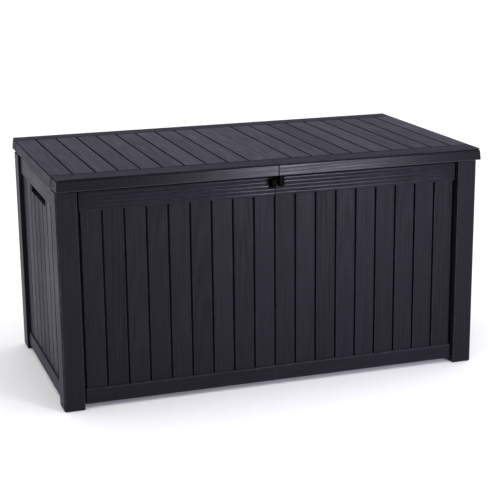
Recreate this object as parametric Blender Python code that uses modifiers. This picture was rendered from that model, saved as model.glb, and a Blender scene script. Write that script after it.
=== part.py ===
"""Deck storage box with a lifting lid, closed. Metres, +Z up.

The origin is on the ground under the box's centre. The front faces -Y. The lid turns about
an axis along X at the back, and two gas struts stand in the rear corners.
"""
import math

import bmesh
import bpy
from mathutils import Matrix, Vector

# Overall size and the play between pieces that touch
WIDTH = 1.480
DEPTH = 0.820
HEIGHT = 0.780
GAP = 0.0003
SEAM = 0.00015  # each half stops this far from the middle

# Body: corner posts, walls and floor
POST_OUT_X = 0.738
POST_OUT_Y = 0.383
POST_WIDTH = 0.070
POST_DEPTH = 0.076
POST_TOP = 0.733
POST_ROUND = 0.008
WALL_IN_X = 0.698  # clear inside of the box, from the middle
WALL_IN_Y = 0.338
WEB_THICK = 0.006
WEB_BACK = 0.002  # the thin wall stands this far behind the rails' inner face
WEB_LOW = 0.020
WEB_TOP = 0.771
RAIL_THICK_LONG = 0.033
RAIL_THICK_SIDE = 0.032
RAIL_LOW = 0.016
RAIL_TOP = 0.068
BAND_LOW = 0.666
BAND_TOP = 0.7285
RAIL_END = 0.007  # the rails stop this far from the posts
EDGE_ROUND = 0.0025
RIB_COUNT = 5
RIB_DEEP = 0.003
RIB_WIDE = 0.005
RIB_END = 0.040  # smooth length left at the outer end of the ribbed band
PLANK_PITCH = 0.07325
PLANKS_LONG = 9
SIDE_PLANK_PITCH = 0.075
PLANKS_SIDE = 8
PLANK_FACE_Y = 0.364
PLANK_FACE_X = 0.724
GROOVE_WIDE = 0.007
GROOVE_FLOOR = 0.004
GROOVE_DEEP = 0.008
SLOT_HALF = 0.130
SLOT_LOW = 0.636
SLOT_TOP = 0.661
FLOOR_LOW = 0.022
FLOOR_TOP = 0.032
FLOOR_RIBS = (0.20, 0.43, 0.65)
STRIP_HALF = 0.030
STRIP_THICK = 0.005

# Lid
SKIRT_LOW = 0.740
LID_WALL = 0.006
LID_PLATE = 0.008
LID_ROUND = 0.004
LID_PITCH = 0.074
LID_PLANKS = 10
RIM_FRONT = 0.083
RIM_BACK = 0.076
LID_GROOVE_WIDE = 0.005
LID_GROOVE_DEEP = 0.0045
LID_UNDER = HEIGHT - LID_PLATE - GAP  # what is fixed under the lid starts here
BEAM_HALF = 0.655
BEAM_WIDE = 0.020
BEAM_HIGH = 0.015
BEAM_WALL = 0.0015
BEAM_PLACES = {"lid_beam_front": -0.270, "lid_beam_back": 0.250}

# Hinges
HINGE_Y = 0.392
HINGE_Z = 0.722
HINGE_PLACES = (-0.56, -0.20, 0.20, 0.56)
HINGE_WALL = WALL_IN_Y + RAIL_THICK_LONG + GAP
KNUCKLE_R = 0.007
PIN_R = 0.003
PIN_HEAD_R = 0.0045
PIN_OVER = 0.0025
LEAF_HALF = 0.030
LEAF_THICK = 0.004
LEAF_LOW = 0.688
LEAF_TOP = 0.7265
EAR_LOW = 0.7025
EAR_ROOT = 0.0008  # the ears start this deep in the plate
LID_LEAF_HALF = 0.018
LEAF_FLANGE_THICK = 0.005
LEAF_FLANGE_FRONT = 0.352
LEAF_NECK_THICK = 0.006
SCREW_X = 0.020
SCREW_Z = 0.6953
SCREW_R = 0.002
SCREW_HEAD_R = 0.0042
SCREW_HEAD_HIGH = 0.0024

# Lock eyes
EYE_X = 0.0125
EYE_THICK = 0.018
EYE_Y = -0.391
EYE_Z = 0.712
EYE_R = 0.012
EYE_HOLE_R = 0.005
EYE_PLATE_HALF = 0.0135
EYE_PLATE_THICK = 0.004
EYE_PLATE_DROP = 0.022

# Gas struts, in a plane beside each end wall. Offsets are from the hinge axis.
STRUT_X = 0.684
STRUT_FOOT = (-0.078, -0.1936)
STRUT_HEAD = (-0.2065, 0.0209)
STRUT_ANGLE = 121.0
STRUT_LENGTH = 0.2566
STRUT_EYE_THICK = 0.008
STUD_R = 0.004
TUBE_R = 0.009
ROD_R = 0.004
TUBE_START = 0.012
TUBE_END = 0.205
BORE_START = 0.034
STRUT_EYE_R = 0.010
ROD_EYE_R = 0.011
CAP_R = 0.0065
CAP_THICK = 0.003
BRACKET_THICK = 0.004
WALL_BRACKET_HALF = (0.015, 0.024)  # along Y and Z
LID_BRACKET_HALF = 0.020
LID_BRACKET_R = 0.014
LID_BRACKET_PLAY = 0.0006  # between the rod end and the lid bracket's plate
LID_BRACKET_FLANGE = 0.024

BODY_COLLECTION = "deck_storage_box"
CUTTERS = "cutters"
ROUND_STEPS = 24


def clear_scene():
    for obj in list(bpy.data.objects):
        bpy.data.objects.remove(obj, do_unlink=True)
    for name in (BODY_COLLECTION, CUTTERS):
        collection = bpy.data.collections.new(name)
        bpy.context.scene.collection.children.link(collection)


def material(name, colour, roughness, metallic=0.0):
    made = bpy.data.materials.new(name)
    made.use_nodes = True
    shader = made.node_tree.nodes["Principled BSDF"]
    shader.inputs["Base Color"].default_value = (*colour, 1.0)
    shader.inputs["Roughness"].default_value = roughness
    shader.inputs["Metallic"].default_value = metallic
    return made


def add_object(name, mesh, collection=BODY_COLLECTION):
    obj = bpy.data.objects.new(name, mesh)
    bpy.data.collections[collection].objects.link(obj)
    return obj


def finish_piece(obj, origin, look):
    """Moves the object's origin to the given point and gives it its own material."""
    place = Vector(origin)
    obj.data.transform(Matrix.Translation(-place))
    obj.location = place
    obj.data.materials.append(material(obj.name + "_material", *look))
    return obj


def boxes_mesh(name, boxes):
    """One mesh of separate boxes, each from its low corner to its high corner."""
    bm = bmesh.new()
    for low, high in boxes:
        corner_a = Vector(low)
        corner_b = Vector(high)
        size = corner_b - corner_a
        size = Vector((abs(size.x), abs(size.y), abs(size.z)))
        made = bmesh.ops.create_cube(bm, size=1.0)["verts"]
        bmesh.ops.scale(bm, vec=size, verts=made)
        bmesh.ops.translate(bm, vec=(corner_a + corner_b) / 2, verts=made)
    mesh = bpy.data.meshes.new(name)
    bm.to_mesh(mesh)
    bm.free()
    return mesh


def outline_mesh(name, loops, low, high, along):
    """Extrudes flat outlines from low to high along X or Z. Along X, points are (y, z)."""
    curve = bpy.data.curves.new(name, "CURVE")
    curve.dimensions = "2D"
    curve.fill_mode = "BOTH"
    curve.extrude = (high - low) / 2
    for points in loops:
        spline = curve.splines.new("POLY")
        spline.points.add(len(points) - 1)
        for point, place in zip(spline.points, points):
            point.co = (place[0], place[1], 0.0, 1.0)
        spline.use_cyclic_u = True
    shape = add_object(name + "_outline", curve, CUTTERS)
    bpy.context.view_layer.update()
    graph = bpy.context.evaluated_depsgraph_get()
    mesh = bpy.data.meshes.new_from_object(shape.evaluated_get(graph))
    bpy.data.objects.remove(shape, do_unlink=True)
    bm = bmesh.new()
    bm.from_mesh(mesh)
    bmesh.ops.remove_doubles(bm, verts=bm.verts, dist=0.00001)
    bmesh.ops.translate(bm, vec=(0.0, 0.0, (low + high) / 2), verts=bm.verts)
    if along == "X":
        turn = Matrix(((0, 0, 1), (1, 0, 0), (0, 1, 0)))
        bmesh.ops.transform(bm, matrix=turn.to_4x4(), verts=bm.verts)
    bmesh.ops.recalc_face_normals(bm, faces=bm.faces)
    bm.to_mesh(mesh)
    bm.free()
    mesh.name = name
    return mesh


def cylinder_mesh(name, radius, low, high, centre=(0.0, 0.0), steps=ROUND_STEPS):
    """A cylinder along X, from low to high, centred at (y, z)."""
    bm = bmesh.new()
    bmesh.ops.create_cone(bm, cap_ends=True, segments=steps, radius1=radius, radius2=radius,
                          depth=abs(high - low))
    turn = Matrix.Rotation(math.radians(90), 4, "Y")
    bmesh.ops.transform(bm, matrix=turn, verts=bm.verts)
    bmesh.ops.translate(bm, vec=((low + high) / 2, *centre), verts=bm.verts)
    mesh = bpy.data.meshes.new(name)
    bm.to_mesh(mesh)
    bm.free()
    return mesh


def turned_object(name, profile, collection=BODY_COLLECTION):
    """Turns a profile of (radius, height) about Z. The profile runs from top to bottom."""
    bm = bmesh.new()
    points = [bm.verts.new((radius, 0.0, height)) for radius, height in profile]
    for first, second in zip(points, points[1:]):
        bm.edges.new((first, second))
    mesh = bpy.data.meshes.new(name)
    bm.to_mesh(mesh)
    bm.free()
    obj = add_object(name, mesh, collection)
    screw = obj.modifiers.new("turn", "SCREW")
    screw.steps = ROUND_STEPS
    screw.render_steps = ROUND_STEPS
    screw.use_merge_vertices = True
    screw.merge_threshold = 0.00001
    return obj


def combine(obj, mesh_or_object, operation):
    """Adds or cuts a shape with an exact Boolean. The tool stays in the cutters collection."""
    tool = mesh_or_object
    if isinstance(tool, bpy.types.Mesh):
        tool = add_object(tool.name, tool, CUTTERS)
    tool.hide_render = True
    tool.display_type = "WIRE"
    modifier = obj.modifiers.new(tool.name, "BOOLEAN")
    modifier.operation = operation
    modifier.solver = "EXACT"
    modifier.object = tool
    return tool


def round_edges(obj, width, segments=1, angle=50):
    bevel = obj.modifiers.new("edges", "BEVEL")
    bevel.width = width
    bevel.segments = segments
    bevel.limit_method = "ANGLE"
    bevel.angle_limit = math.radians(angle)
    return obj


def arc(centre, radius, start, end, steps):
    """Points on an arc, in degrees, both ends included."""
    angles = [math.radians(start + (end - start) * i / steps) for i in range(steps + 1)]
    return [(centre[0] + radius * math.cos(a), centre[1] + radius * math.sin(a)) for a in angles]


def plank_outline(start, pitch, count, back, front):
    """Section through a row of planks with a groove between each two, as (along, across)."""
    step = 1 if front > back else -1
    floor = front - step * GROOVE_DEEP
    points = [(start + GROOVE_WIDE / 2, back), (start + GROOVE_WIDE / 2, front)]
    for i in range(1, count):
        middle = start + i * pitch
        points.append((middle - GROOVE_WIDE / 2, front))
        points.append((middle - GROOVE_FLOOR / 2, floor))
        points.append((middle + GROOVE_FLOOR / 2, floor))
        points.append((middle + GROOVE_WIDE / 2, front))
    end = start + count * pitch - GROOVE_WIDE / 2
    return points + [(end, front), (end, back)]


RESIN = ((0.052, 0.051, 0.064), 0.52)
RESIN_DARK = ((0.020, 0.020, 0.024), 0.45)
STEEL = ((0.55, 0.56, 0.58), 0.35, 1.0)
CHROME = ((0.78, 0.79, 0.80), 0.12, 1.0)
PAINT = ((0.012, 0.012, 0.014), 0.35)


def corner_post(name, side_x, side_y):
    inner_x = POST_OUT_X - POST_WIDTH
    inner_y = POST_OUT_Y - POST_DEPTH
    corner = (POST_OUT_X - POST_ROUND, POST_OUT_Y - POST_ROUND)
    points = [(inner_x, POST_OUT_Y - EDGE_ROUND), (inner_x + EDGE_ROUND, POST_OUT_Y)]
    points += arc(corner, POST_ROUND, 90, 0, 5)
    points += [(POST_OUT_X, inner_y + EDGE_ROUND), (POST_OUT_X - EDGE_ROUND, inner_y)]
    points += [(WALL_IN_X, inner_y), (WALL_IN_X, WALL_IN_Y), (inner_x, WALL_IN_Y)]
    points = [(side_x * x, side_y * y) for x, y in points]
    obj = add_object(name, outline_mesh(name, [points], 0.0, POST_TOP, "Z"))
    return finish_piece(obj, (side_x * POST_OUT_X, side_y * POST_OUT_Y, 0.0), RESIN)


def long_panel(name, side_x, side_y):
    """One half of the front or back wall: thin wall, planks, bottom rail and ribbed band."""
    post_x = POST_OUT_X - POST_WIDTH
    web_in = WALL_IN_Y + WEB_BACK
    rail_out = WALL_IN_Y + RAIL_THICK_LONG
    end = post_x - RAIL_END
    web = ((side_x * SEAM, side_y * web_in, WEB_LOW),
           (side_x * (post_x - GAP), side_y * (web_in + WEB_THICK), WEB_TOP))
    obj = add_object(name, boxes_mesh(name, [web]))
    section = plank_outline(0.0, PLANK_PITCH, PLANKS_LONG, web_in + WEB_THICK - 0.001, PLANK_FACE_Y)
    section = [(side_x * x, side_y * y) for x, y in section]
    planks = outline_mesh(name + "_planks", [section], RAIL_TOP - 0.002, BAND_LOW + 0.002, "Z")
    combine(obj, planks, "UNION")
    for part, low, high in (("_rail", RAIL_LOW, RAIL_TOP), ("_band", BAND_LOW, BAND_TOP)):
        bar = ((side_x * 2 * SEAM, side_y * WALL_IN_Y, low), (side_x * end, side_y * rail_out, high))
        tool = combine(obj, boxes_mesh(name + part, [bar]), "UNION")
        round_edges(tool, EDGE_ROUND)
    ribs = []
    pitch = (BAND_TOP - BAND_LOW) / (RIB_COUNT + 1)
    for i in range(RIB_COUNT):
        middle = BAND_LOW + (i + 1) * pitch
        ribs.append(((0.0, side_y * (rail_out - RIB_DEEP), middle - RIB_WIDE / 2),
                     (side_x * (end - RIB_END), side_y * (rail_out + 0.01), middle + RIB_WIDE / 2)))
    combine(obj, boxes_mesh(name + "_rib_grooves", ribs), "DIFFERENCE")
    return finish_piece(obj, (0.0, side_y * rail_out, RAIL_LOW), RESIN)


def side_panel(name, side_x):
    """An end wall with upright planks, two rails and a hand slot below the upper rail."""
    post_y = POST_OUT_Y - POST_DEPTH
    web_in = WALL_IN_X + WEB_BACK
    rail_out = WALL_IN_X + RAIL_THICK_SIDE
    end = post_y - RAIL_END
    web = ((side_x * web_in, -(post_y - GAP), WEB_LOW),
           (side_x * (web_in + WEB_THICK), post_y - GAP, WEB_TOP))
    obj = add_object(name, boxes_mesh(name, [web]))
    start = -SIDE_PLANK_PITCH * PLANKS_SIDE / 2
    section = plank_outline(start, SIDE_PLANK_PITCH, PLANKS_SIDE, web_in + WEB_THICK - 0.001,
                            PLANK_FACE_X)
    section = [(side_x * across, along) for along, across in section]
    planks = outline_mesh(name + "_planks", [section], RAIL_TOP - 0.002, BAND_LOW + 0.002, "Z")
    combine(obj, planks, "UNION")
    for part, low, high in (("_rail", RAIL_LOW, RAIL_TOP), ("_band", BAND_LOW, BAND_TOP)):
        bar = ((side_x * WALL_IN_X, -end, low), (side_x * rail_out, end, high))
        tool = combine(obj, boxes_mesh(name + part, [bar]), "UNION")
        round_edges(tool, EDGE_ROUND)
    slot = ((side_x * 0.65, -SLOT_HALF, SLOT_LOW), (side_x * 0.78, SLOT_HALF, SLOT_TOP))
    combine(obj, boxes_mesh(name + "_hand_slot", [slot]), "DIFFERENCE")
    return finish_piece(obj, (side_x * rail_out, 0.0, RAIL_LOW), RESIN)


def floor_half(name, side_x):
    edge_x = WALL_IN_X - GAP
    edge_y = WALL_IN_Y - GAP
    plate = ((side_x * SEAM, -edge_y, FLOOR_LOW), (side_x * edge_x, edge_y, FLOOR_TOP))
    obj = add_object(name, boxes_mesh(name, [plate]))
    ribs = []
    for place in FLOOR_RIBS:
        ribs.append(((side_x * (place - 0.006), -edge_y + 0.01, 0.002),
                     (side_x * (place + 0.006), edge_y - 0.01, FLOOR_LOW + 0.002)))
    combine(obj, boxes_mesh(name + "_ribs", ribs), "UNION")
    return finish_piece(obj, (side_x * edge_x / 2, 0.0, FLOOR_LOW), RESIN)


def plain_box(name, low, high, look):
    obj = add_object(name, boxes_mesh(name, [(low, high)]))
    middle = (Vector(low) + Vector(high)) / 2
    return finish_piece(obj, middle, look)


def joint_strips():
    """Strips that hold the two halves of each wall and of the floor together."""
    for name, side_y in (("front_joint_strip", -1), ("back_joint_strip", 1)):
        outer = side_y * (WALL_IN_Y - GAP)
        inner = side_y * (WALL_IN_Y - GAP - STRIP_THICK)
        low = (-STRIP_HALF, min(outer, inner), 0.045)
        high = (STRIP_HALF, max(outer, inner), 0.725)
        plain_box(name, low, high, RESIN)
    plain_box("floor_joint_beam", (-STRIP_HALF, -0.328, 0.006),
              (STRIP_HALF, 0.328, FLOOR_LOW - GAP), RESIN)


def lid_half(name, side_x):
    """Half of the lid: a shallow tray, open below and at the middle, with planks on top."""
    half_x = WIDTH / 2
    half_y = DEPTH / 2
    whole = ((-half_x, -half_y, SKIRT_LOW), (half_x, half_y, HEIGHT))
    obj = add_object(name, boxes_mesh(name, [whole]))
    round_edges(obj, LID_ROUND, segments=2)
    other = ((-side_x, -1.0, 0.0), (side_x * SEAM, 1.0, 1.0))
    combine(obj, boxes_mesh(name + "_other_half", [other]), "DIFFERENCE")
    hollow = ((-side_x * 0.1, -(half_y - LID_WALL), 0.70),
              (side_x * (half_x - LID_WALL), half_y - LID_WALL, HEIGHT - LID_PLATE))
    combine(obj, boxes_mesh(name + "_hollow", [hollow]), "DIFFERENCE")
    deep = HEIGHT - LID_GROOVE_DEEP
    wide = LID_GROOVE_WIDE / 2
    front = -half_y + RIM_FRONT
    back = half_y - RIM_BACK
    grooves = [((-side_x * 0.1, front - wide, deep), (side_x * 0.8, front + wide, 0.79)),
               ((-side_x * 0.1, back - wide, deep), (side_x * 0.8, back + wide, 0.79))]
    combine(obj, boxes_mesh(name + "_rim_grooves", grooves), "DIFFERENCE")
    grooves = []
    for i in range(1, LID_PLANKS):
        middle = side_x * i * LID_PITCH
        grooves.append(((middle - wide, front, deep + 0.0002), (middle + wide, back, 0.79)))
    combine(obj, boxes_mesh(name + "_grooves", grooves), "DIFFERENCE")
    return finish_piece(obj, (0.0, HINGE_Y, HINGE_Z), RESIN)


def lid_hardware():
    under = LID_UNDER
    for name, place in BEAM_PLACES.items():
        half = BEAM_WIDE / 2
        outer = [(place - half, under - BEAM_HIGH), (place + half, under - BEAM_HIGH),
                 (place + half, under), (place - half, under)]
        inner = [(place - half + BEAM_WALL, under - BEAM_HIGH + BEAM_WALL),
                 (place - half + BEAM_WALL, under - BEAM_WALL),
                 (place + half - BEAM_WALL, under - BEAM_WALL),
                 (place + half - BEAM_WALL, under - BEAM_HIGH + BEAM_WALL)]
        obj = add_object(name, outline_mesh(name, [outer, inner], -BEAM_HALF, BEAM_HALF, "X"))
        finish_piece(obj, (0.0, HINGE_Y, HINGE_Z), STEEL)
    low = (-STRIP_HALF, BEAM_PLACES["lid_beam_front"] + 0.015, under - STRIP_THICK)
    high = (STRIP_HALF, BEAM_PLACES["lid_beam_back"] - 0.015, under)
    obj = add_object("lid_joint_strip", boxes_mesh("lid_joint_strip", [(low, high)]))
    finish_piece(obj, (0.0, HINGE_Y, HINGE_Z), RESIN)


def hinge_body_leaf(name, place):
    """A plate on the back wall with two ears that hold the pin, and two screw holes."""
    axis = (HINGE_Y, HINGE_Z)
    plate = ((place - LEAF_HALF, HINGE_WALL, LEAF_LOW),
             (place + LEAF_HALF, HINGE_WALL + LEAF_THICK, LEAF_TOP))
    leaf = add_object(name, boxes_mesh(name, [plate]))
    root = HINGE_WALL + LEAF_THICK - EAR_ROOT
    ear = [(root, EAR_LOW)] + arc(axis, KNUCKLE_R, -70, 95, 10) + [(root, LEAF_TOP - GAP)]
    ear_in = LID_LEAF_HALF + GAP
    ear_out = LEAF_HALF - GAP
    for tag, low, high in (("_ear_a", -ear_out, -ear_in), ("_ear_b", ear_in, ear_out)):
        combine(leaf, outline_mesh(name + tag, [ear], place + low, place + high, "X"), "UNION")
    bore = cylinder_mesh(name + "_bore", PIN_R + GAP, place - LEAF_HALF, place + LEAF_HALF + GAP,
                         axis)
    combine(leaf, bore, "DIFFERENCE")
    for tag, side in (("_hole_a", -1), ("_hole_b", 1)):
        hole = cylinder_mesh(name + tag, SCREW_R + GAP, -2 * LEAF_THICK, 2 * LEAF_THICK)
        hole.transform(Matrix.Rotation(math.radians(90), 4, "Z"))
        hole.transform(Matrix.Translation((place + side * SCREW_X, HINGE_WALL, SCREW_Z)))
        combine(leaf, hole, "DIFFERENCE")
    finish_piece(leaf, (place, *axis), RESIN_DARK)


def hinge_lid_leaf(name, place):
    """A knuckle between the ears, with a neck up to a flange under the lid."""
    axis = (HINGE_Y, HINGE_Z)
    flange = LID_UNDER - LEAF_FLANGE_THICK
    neck = HINGE_Y + KNUCKLE_R - LEAF_NECK_THICK
    shape = [(LEAF_FLANGE_FRONT, flange), (LEAF_FLANGE_FRONT, LID_UNDER),
             (HINGE_Y + KNUCKLE_R, LID_UNDER)]
    shape += arc(axis, KNUCKLE_R, 0, -240, 14)
    shape += [(neck, HINGE_Z + 2 * KNUCKLE_R), (neck, flange)]
    low = place - LID_LEAF_HALF
    high = place + LID_LEAF_HALF
    leaf = add_object(name, outline_mesh(name, [shape], low, high, "X"))
    bore = cylinder_mesh(name + "_bore", PIN_R + GAP, low - GAP, high + 2 * GAP, axis)
    combine(leaf, bore, "DIFFERENCE")
    finish_piece(leaf, (place, *axis), RESIN_DARK)


def hinge_pin(name, place):
    """A headed pin along X through the ears and the knuckle."""
    reach = LEAF_HALF + PIN_OVER
    head = LEAF_HALF + GAP
    profile = [(0.0, reach), (PIN_HEAD_R, reach), (PIN_HEAD_R, head), (PIN_R, head),
               (PIN_R, -reach), (0.0, -reach)]
    pin = turned_object(name, profile)
    pin.rotation_euler = (0.0, math.radians(90), 0.0)
    pin.location = (place, HINGE_Y, HINGE_Z)
    pin.data.materials.append(material(name + "_material", *STEEL))


def hinge_screw(name, place):
    """A pan-head screw in the body leaf, pointing into the wall."""
    seat = LEAF_THICK + GAP
    crown = seat + SCREW_HEAD_HIGH
    profile = [(0.0, crown), (SCREW_HEAD_R * 0.6, crown - GAP), (SCREW_HEAD_R, seat + 0.0008),
               (SCREW_HEAD_R, seat), (SCREW_R, seat), (SCREW_R, GAP), (0.0, GAP)]
    screw = turned_object(name, profile)
    screw.rotation_euler = (math.radians(-90), 0.0, 0.0)
    screw.location = (place, HINGE_WALL, SCREW_Z)
    screw.data.materials.append(material(name + "_material", *STEEL))


def eye_tab(eye, shape, middle):
    """Joins an upright tab with a padlock hole to its plate."""
    half = EYE_THICK / 2
    tab = outline_mesh(eye.name + "_tab", [shape], middle - half, middle + half, "X")
    combine(eye, tab, "UNION")
    hole = cylinder_mesh(eye.name + "_hole", EYE_HOLE_R, middle - EYE_THICK, middle + EYE_THICK,
                         (EYE_Y, EYE_Z))
    combine(eye, hole, "DIFFERENCE")


def body_lock_eye():
    """An eye on the front wall's band, left of the middle."""
    band = -(WALL_IN_Y + RAIL_THICK_LONG + GAP)
    middle = -EYE_X
    plate = ((middle - EYE_PLATE_HALF, band - EYE_PLATE_THICK, EYE_Z - EYE_PLATE_DROP),
             (middle + EYE_PLATE_HALF, band, LEAF_TOP))
    eye = add_object("body_lock_eye", boxes_mesh("body_lock_eye", [plate]))
    root = band - EYE_PLATE_THICK + EAR_ROOT
    reach = EYE_R - 0.001
    shape = [(root, EYE_Z + reach)] + arc((EYE_Y, EYE_Z), EYE_R, 90, 270, 12)
    eye_tab(eye, shape + [(root, EYE_Z - reach)], middle)
    finish_piece(eye, (middle, band, EYE_Z), RESIN_DARK)


def lid_lock_eye():
    """An eye that hangs from the inside of the lid's front skirt, right of the middle."""
    skirt = -(DEPTH / 2 - LID_WALL - GAP)
    middle = EYE_X
    plate = ((middle - EYE_PLATE_HALF, skirt, SKIRT_LOW + 0.0025),
             (middle + EYE_PLATE_HALF, skirt + EYE_PLATE_THICK, LID_UNDER - 0.006))
    eye = add_object("lid_lock_eye", boxes_mesh("lid_lock_eye", [plate]))
    front = skirt + GAP
    top = LID_UNDER - 0.008
    shape = [(front, top), (front, EYE_Z)] + arc((EYE_Y, EYE_Z), EYE_R, 195, 360, 12)
    shape += [(EYE_Y + EYE_R, SKIRT_LOW + 0.005), (skirt + EYE_PLATE_THICK + 0.002, top)]
    eye_tab(eye, shape, middle)
    finish_piece(eye, (0.0, HINGE_Y, HINGE_Z), RESIN_DARK)


def strut_wall_bracket(name, side_x):
    """A plate on the end wall with a headed stud for the strut's lower eye."""
    foot = (HINGE_Y + STRUT_FOOT[0], HINGE_Z + STRUT_FOOT[1])
    wall = WALL_IN_X - GAP
    inner = STRUT_X - STRUT_EYE_THICK / 2
    half_y, half_z = WALL_BRACKET_HALF
    plate = ((side_x * (wall - BRACKET_THICK), foot[0] - half_y, foot[1] - half_z),
             (side_x * wall, foot[0] + half_y, foot[1] + half_z))
    bracket = add_object(name, boxes_mesh(name, [plate]))
    round_edges(bracket, 0.001)
    stud = cylinder_mesh(name + "_stud", STUD_R, side_x * (inner - 0.001),
                         side_x * (wall - BRACKET_THICK / 2), foot)
    combine(bracket, stud, "UNION")
    cap = cylinder_mesh(name + "_cap", CAP_R, side_x * (inner - CAP_THICK),
                        side_x * (inner - GAP), foot)
    combine(bracket, cap, "UNION")
    finish_piece(bracket, (side_x * STRUT_X, *foot), PAINT)


def strut_lid_bracket(name, side_x):
    """A plate that hangs under the lid beside the rod end, with a flange along the lid."""
    head = (HINGE_Y + STRUT_HEAD[0], HINGE_Z + STRUT_HEAD[1])
    outer = STRUT_X + STRUT_EYE_THICK / 2 + LID_BRACKET_PLAY
    half = LID_BRACKET_HALF
    shape = [(head[0] + half, LID_UNDER), (head[0] - half, LID_UNDER),
             (head[0] - half, LID_UNDER - 0.010)]
    shape += arc(head, LID_BRACKET_R, 190, 350, 10) + [(head[0] + half, LID_UNDER - 0.010)]
    low, high = sorted((side_x * outer, side_x * (outer + BRACKET_THICK)))
    bracket = add_object(name, outline_mesh(name, [shape], low, high, "X"))
    flange = ((side_x * (outer - LID_BRACKET_FLANGE), head[0] - half + GAP,
               LID_UNDER - BRACKET_THICK),
              (side_x * (outer + BRACKET_THICK / 2), head[0] + half - GAP, LID_UNDER - 0.0001))
    combine(bracket, boxes_mesh(name + "_flange", [flange]), "UNION")
    finish_piece(bracket, (0.0, HINGE_Y, HINGE_Z), PAINT)


def strut_tool(name, mesh, height=0.0):
    mesh.transform(Matrix.Translation((0.0, 0.0, height)))
    return add_object(name, mesh, CUTTERS)


def strut(tag, side_x):
    """A gas strut, drawn along its own Z from the lower pivot and tilted in the YZ plane."""
    half = STRUT_EYE_THICK / 2
    name = f"strut_tube_{tag}"
    tube = turned_object(name, [(0.0, TUBE_END), (TUBE_R - 0.001, TUBE_END),
                                (TUBE_R, TUBE_END - 0.001), (TUBE_R, TUBE_START + 0.002),
                                (TUBE_R / 2, TUBE_START), (0.0035, 0.004), (0.0, 0.004)])
    bore = turned_object(name + "_bore", [(0.0, TUBE_END + 0.02), (ROD_R + GAP, TUBE_END + 0.02),
                                          (ROD_R + GAP, BORE_START), (0.0, BORE_START)], CUTTERS)
    eye = strut_tool(name + "_eye", cylinder_mesh(name + "_eye", STRUT_EYE_R, -half, half))
    hole = strut_tool(name + "_eye_hole",
                      cylinder_mesh(name + "_eye_hole", STUD_R + GAP, -2 * half, 2 * half))
    combine(tube, eye, "UNION")
    combine(tube, bore, "DIFFERENCE")
    combine(tube, hole, "DIFFERENCE")
    name = f"strut_rod_{tag}"
    rod_start = BORE_START + 0.005
    rod_end = STRUT_LENGTH - ROD_EYE_R / 2
    rod = turned_object(name, [(0.0, rod_end), (ROD_R, rod_end), (ROD_R, rod_start),
                               (0.0, rod_start)])
    end = strut_tool(name + "_end", cylinder_mesh(name + "_end", ROD_EYE_R, -half, half),
                     STRUT_LENGTH)
    cap = cylinder_mesh(name + "_cap", CAP_R, -side_x * (half - 0.001),
                        -side_x * (half + CAP_THICK))
    cap = strut_tool(name + "_cap", cap, STRUT_LENGTH)
    combine(rod, end, "UNION")
    combine(rod, cap, "UNION")
    for obj in (tube, bore, eye, hole, rod, end, cap):
        obj.location = (side_x * STRUT_X, HINGE_Y + STRUT_FOOT[0], HINGE_Z + STRUT_FOOT[1])
        obj.rotation_euler = (math.radians(STRUT_ANGLE - 90), 0.0, 0.0)
    tube.data.materials.append(material(tube.name + "_material", *PAINT))
    rod.data.materials.append(material(rod.name + "_material", *CHROME))


def add_pivot(name, location, children):
    """An empty on a joint's axis that carries the pieces turning about it."""
    empty = bpy.data.objects.new(name, None)
    empty.location = location
    empty.empty_display_size = 0.05
    bpy.data.collections[BODY_COLLECTION].objects.link(empty)
    bpy.context.view_layer.update()
    for child in children:
        child.parent = empty
        child.matrix_parent_inverse = empty.matrix_world.inverted()


def build():
    clear_scene()
    for end, side_y in (("front", -1), ("back", 1)):
        for tag, side_x in (("left", -1), ("right", 1)):
            corner_post(f"corner_post_{end}_{tag}", side_x, side_y)
            long_panel(f"{end}_panel_{tag}", side_x, side_y)
    joint_strips()
    for tag, side_x in (("left", -1), ("right", 1)):
        side_panel(f"side_panel_{tag}", side_x)
        floor_half(f"floor_{tag}", side_x)
        lid_half(f"lid_{tag}", side_x)
        strut_wall_bracket(f"strut_wall_bracket_{tag}", side_x)
        strut_lid_bracket(f"strut_lid_bracket_{tag}", side_x)
        strut(tag, side_x)
    lid_hardware()
    body_lock_eye()
    lid_lock_eye()
    for number, place in enumerate(HINGE_PLACES, 1):
        hinge_body_leaf(f"hinge_body_leaf_{number}", place)
        hinge_lid_leaf(f"hinge_lid_leaf_{number}", place)
        hinge_pin(f"hinge_pin_{number}", place)
        for tag, side in (("a", -1), ("b", 1)):
            hinge_screw(f"hinge_screw_{number}{tag}", place + side * SCREW_X)
    parts = bpy.data.collections[BODY_COLLECTION].objects
    on_lid = [o for o in parts if o.name.startswith(("lid_", "hinge_lid", "strut_lid"))]
    add_pivot("lid_pivot", (0.0, HINGE_Y, HINGE_Z), on_lid)


build()
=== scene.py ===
"""Looks of a deck storage box: planked resin walls and lid, ribbed band, hinges and struts.

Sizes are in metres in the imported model's frame: the front faces -Y and +Z is up.
"""
import math

import bmesh
import bpy
import numpy as np
from bpy.props import FloatProperty, FloatVectorProperty, PointerProperty
from mathutils import Matrix, Vector


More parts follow.
